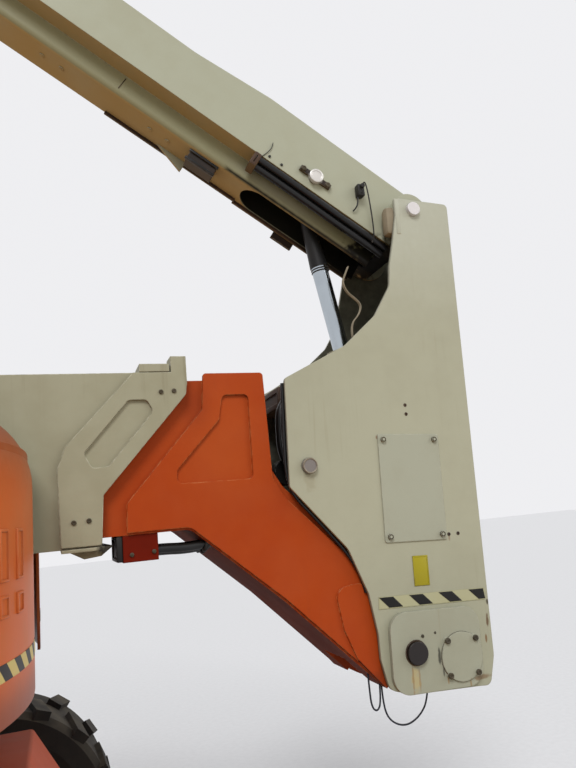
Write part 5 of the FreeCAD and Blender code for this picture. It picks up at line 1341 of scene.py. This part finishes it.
class LIFT_OT_platform_fittings(bpy.types.Operator):
    """Adds joysticks, switches and a tread pattern to the platform, and buttons to the ground box"""

    bl_idname = "boomlift.platform_fittings"
    bl_label = "Platform fittings"

    TOGGLE_RADIUS = 0.0045
    STUD_ROWS = [
        # turn in degrees, x and y of the first stud
        (45, -4.29, -0.835),
        (-45, -4.2625, -0.775),
    ]

    def execute(self, context):
        low, high = corners("platform_console")
        top = high.z
        middle = (low + high) / 2
        stick_top = top + sizes().joystick_height
        sticks = []
        for y in (low.y + 0.09, high.y - 0.09):
            sticks += [post("boot", middle.x, y, top - 0.002, top + 0.018, 0.028, 0.008),
                       post("stem", middle.x, y, top + 0.012, stick_top, 0.008, 0.002),
                       post("knob", middle.x, y, stick_top - 0.030, stick_top + 0.015, 0.018, 0.007)]
        fit(join("console_joysticks", sticks), "platform", "black plastic")
        stop = post("console_stop_button", middle.x, middle.y, top - 0.001, top + 0.026, 0.019, 0.006)
        fit(stop, "platform", "red cap")
        toggles = [rod("toggle", (middle.x - 0.055, y, top - 0.002), (middle.x - 0.062, y, top + 0.020),
                       self.TOGGLE_RADIUS) for y in spread(low.y, high.y, 0.14, 5)]
        fit(join("console_toggles", toggles), "platform", "bright steel")
        self.add_floor_tread()
        self.add_ground_controls()
        return {"FINISHED"}

    def add_floor_tread(self):
        rows = []
        for degrees, x, y in self.STUD_ROWS:
            stud = block("stud", (-0.016, -0.0035, -0.0006), (0.016, 0.0035, 0.0014), 0.0008)
            moved(stud, placed((x, y, FLOOR_TOP), math.radians(degrees), "Z"))
            repeated(stud, 12, (0.055, 0, 0))
            rows.append(repeated(stud, 14, (0, 0.120, 0)))
        fit(join("platform_floor_tread", rows), "platform", "tread floor")

    def add_ground_controls(self):
        low, high = corners("ground_control_box")
        near = low.y
        toggles = [rod("toggle", (x, near + 0.001, 1.40), (x, near - 0.022, 1.408), self.TOGGLE_RADIUS)
                   for x in spread(low.x, high.x, 0.05, 6)]
        fit(join("ground_control_toggles", toggles), "turntable", "bright steel")
        stop = stub("ground_stop_button", high.x - 0.06, 1.30, near + 0.001, near - 0.026, 0.020, 0.006)
        fit(stop, "turntable", "red cap")


class LIFT_OT_wheel_parts(bpy.types.Operator):
    """Adds the tyre valves to the wheels"""

    bl_idname = "boomlift.wheel_parts"
    bl_label = "Wheel parts"

    VALVE = [
        # distance behind the axle, depth inside the rim's outer edge
        (0.150, 0.080), (0.152, 0.050), (0.160, 0.030),
    ]

    def execute(self, context):
        for end, side, tag in WHEELS:
            low, high = corners(f"rim_{end}_{tag}")
            centre = (low + high) / 2
            outer = low.y if side < 0 else high.y
            points = [(centre.x + x, outer - side * depth, centre.z + 0.02) for x, depth in self.VALVE]
            fit(tube(f"tyre_valve_{end}_{tag}", points, 0.0042), f"wheel_{end}_{tag}", "black plastic")
        return {"FINISHED"}


class LIFT_OT_jib_hoses(bpy.types.Operator):
    """Lays the clipped hoses along the jib"""

    bl_idname = "boomlift.jib_hoses"
    bl_label = "Jib hoses"

    RUN = [
        # x, height above the jib
        (-2.02, 0.004), (-2.08, 0.011), (-2.30, 0.012), (-2.60, 0.012), (-2.90, 0.012),
        (-3.10, 0.011), (-3.16, 0.004),
    ]
    ROWS = (-0.026, 0.0, 0.026)
    CLIPS = (-2.15, -2.60, -3.05)

    def execute(self, context):
        hoses = [tube("hose", [(x, y, JIB_TOP + rise) for x, rise in self.RUN], 0.010) for y in self.ROWS]
        fit(join("jib_hose_run", hoses), "jib_arm", "hose rubber")
        clips = []
        for x in self.CLIPS:
            clip = block("clip", (x - 0.012, -0.044, JIB_TOP - 0.001), (x + 0.012, 0.044, JIB_TOP + 0.026),
                         0.003)
            clips.append(push_face(clip, (0, 0, 1), 0.005, 0.001))
        fit(join("jib_hose_clips", clips), "jib_arm", "dark steel")
        return {"FINISHED"}


class LIFT_PT_panel(bpy.types.Panel):
    """Lists the steps that dress the boom lift"""

    bl_label = "Boom lift"
    bl_idname = "LIFT_PT_panel"
    bl_space_type = "VIEW_3D"
    bl_region_type = "UI"
    bl_category = "Boom lift"

    def draw(self, context):
        for group in (context.scene.boom_lift_colours, context.scene.boom_lift_sizes):
            for name in group.bl_rna.properties.keys():
                if name not in {"rna_type", "name"}:
                    self.layout.prop(group, name)
        for operator in OPERATORS:
            self.layout.operator(operator.bl_idname)


OPERATORS = [
    LIFT_OT_stage,
    LIFT_OT_finishes,
    LIFT_OT_loose_leads,
    LIFT_OT_upright_marks,
    LIFT_OT_pin_faces,
    LIFT_OT_boom_fittings,
    LIFT_OT_tower_fittings,
    LIFT_OT_hood_details,
    LIFT_OT_platform_fittings,
    LIFT_OT_wheel_parts,
    LIFT_OT_jib_hoses,
]
CLASSES = [BoomLiftColours, BoomLiftSizes, *OPERATORS, LIFT_PT_panel]


def register():
    for kind in CLASSES:
        bpy.utils.register_class(kind)
    bpy.types.Scene.boom_lift_colours = bpy.props.PointerProperty(type=BoomLiftColours)
    bpy.types.Scene.boom_lift_sizes = bpy.props.PointerProperty(type=BoomLiftSizes)


def unregister():
    del bpy.types.Scene.boom_lift_sizes
    del bpy.types.Scene.boom_lift_colours
    for kind in reversed(CLASSES):
        bpy.utils.unregister_class(kind)


def main():
    register()
    bpy.ops.boomlift.stage()
    bpy.ops.boomlift.finishes()
    bpy.ops.boomlift.loose_leads()
    bpy.ops.boomlift.upright_marks()
    bpy.ops.boomlift.pin_faces()
    bpy.ops.boomlift.boom_fittings()
    bpy.ops.boomlift.tower_fittings()
    bpy.ops.boomlift.hood_details()
    bpy.ops.boomlift.platform_fittings()
    bpy.ops.boomlift.wheel_parts()
    bpy.ops.boomlift.jib_hoses()


if __name__ == "__main__":
    main()
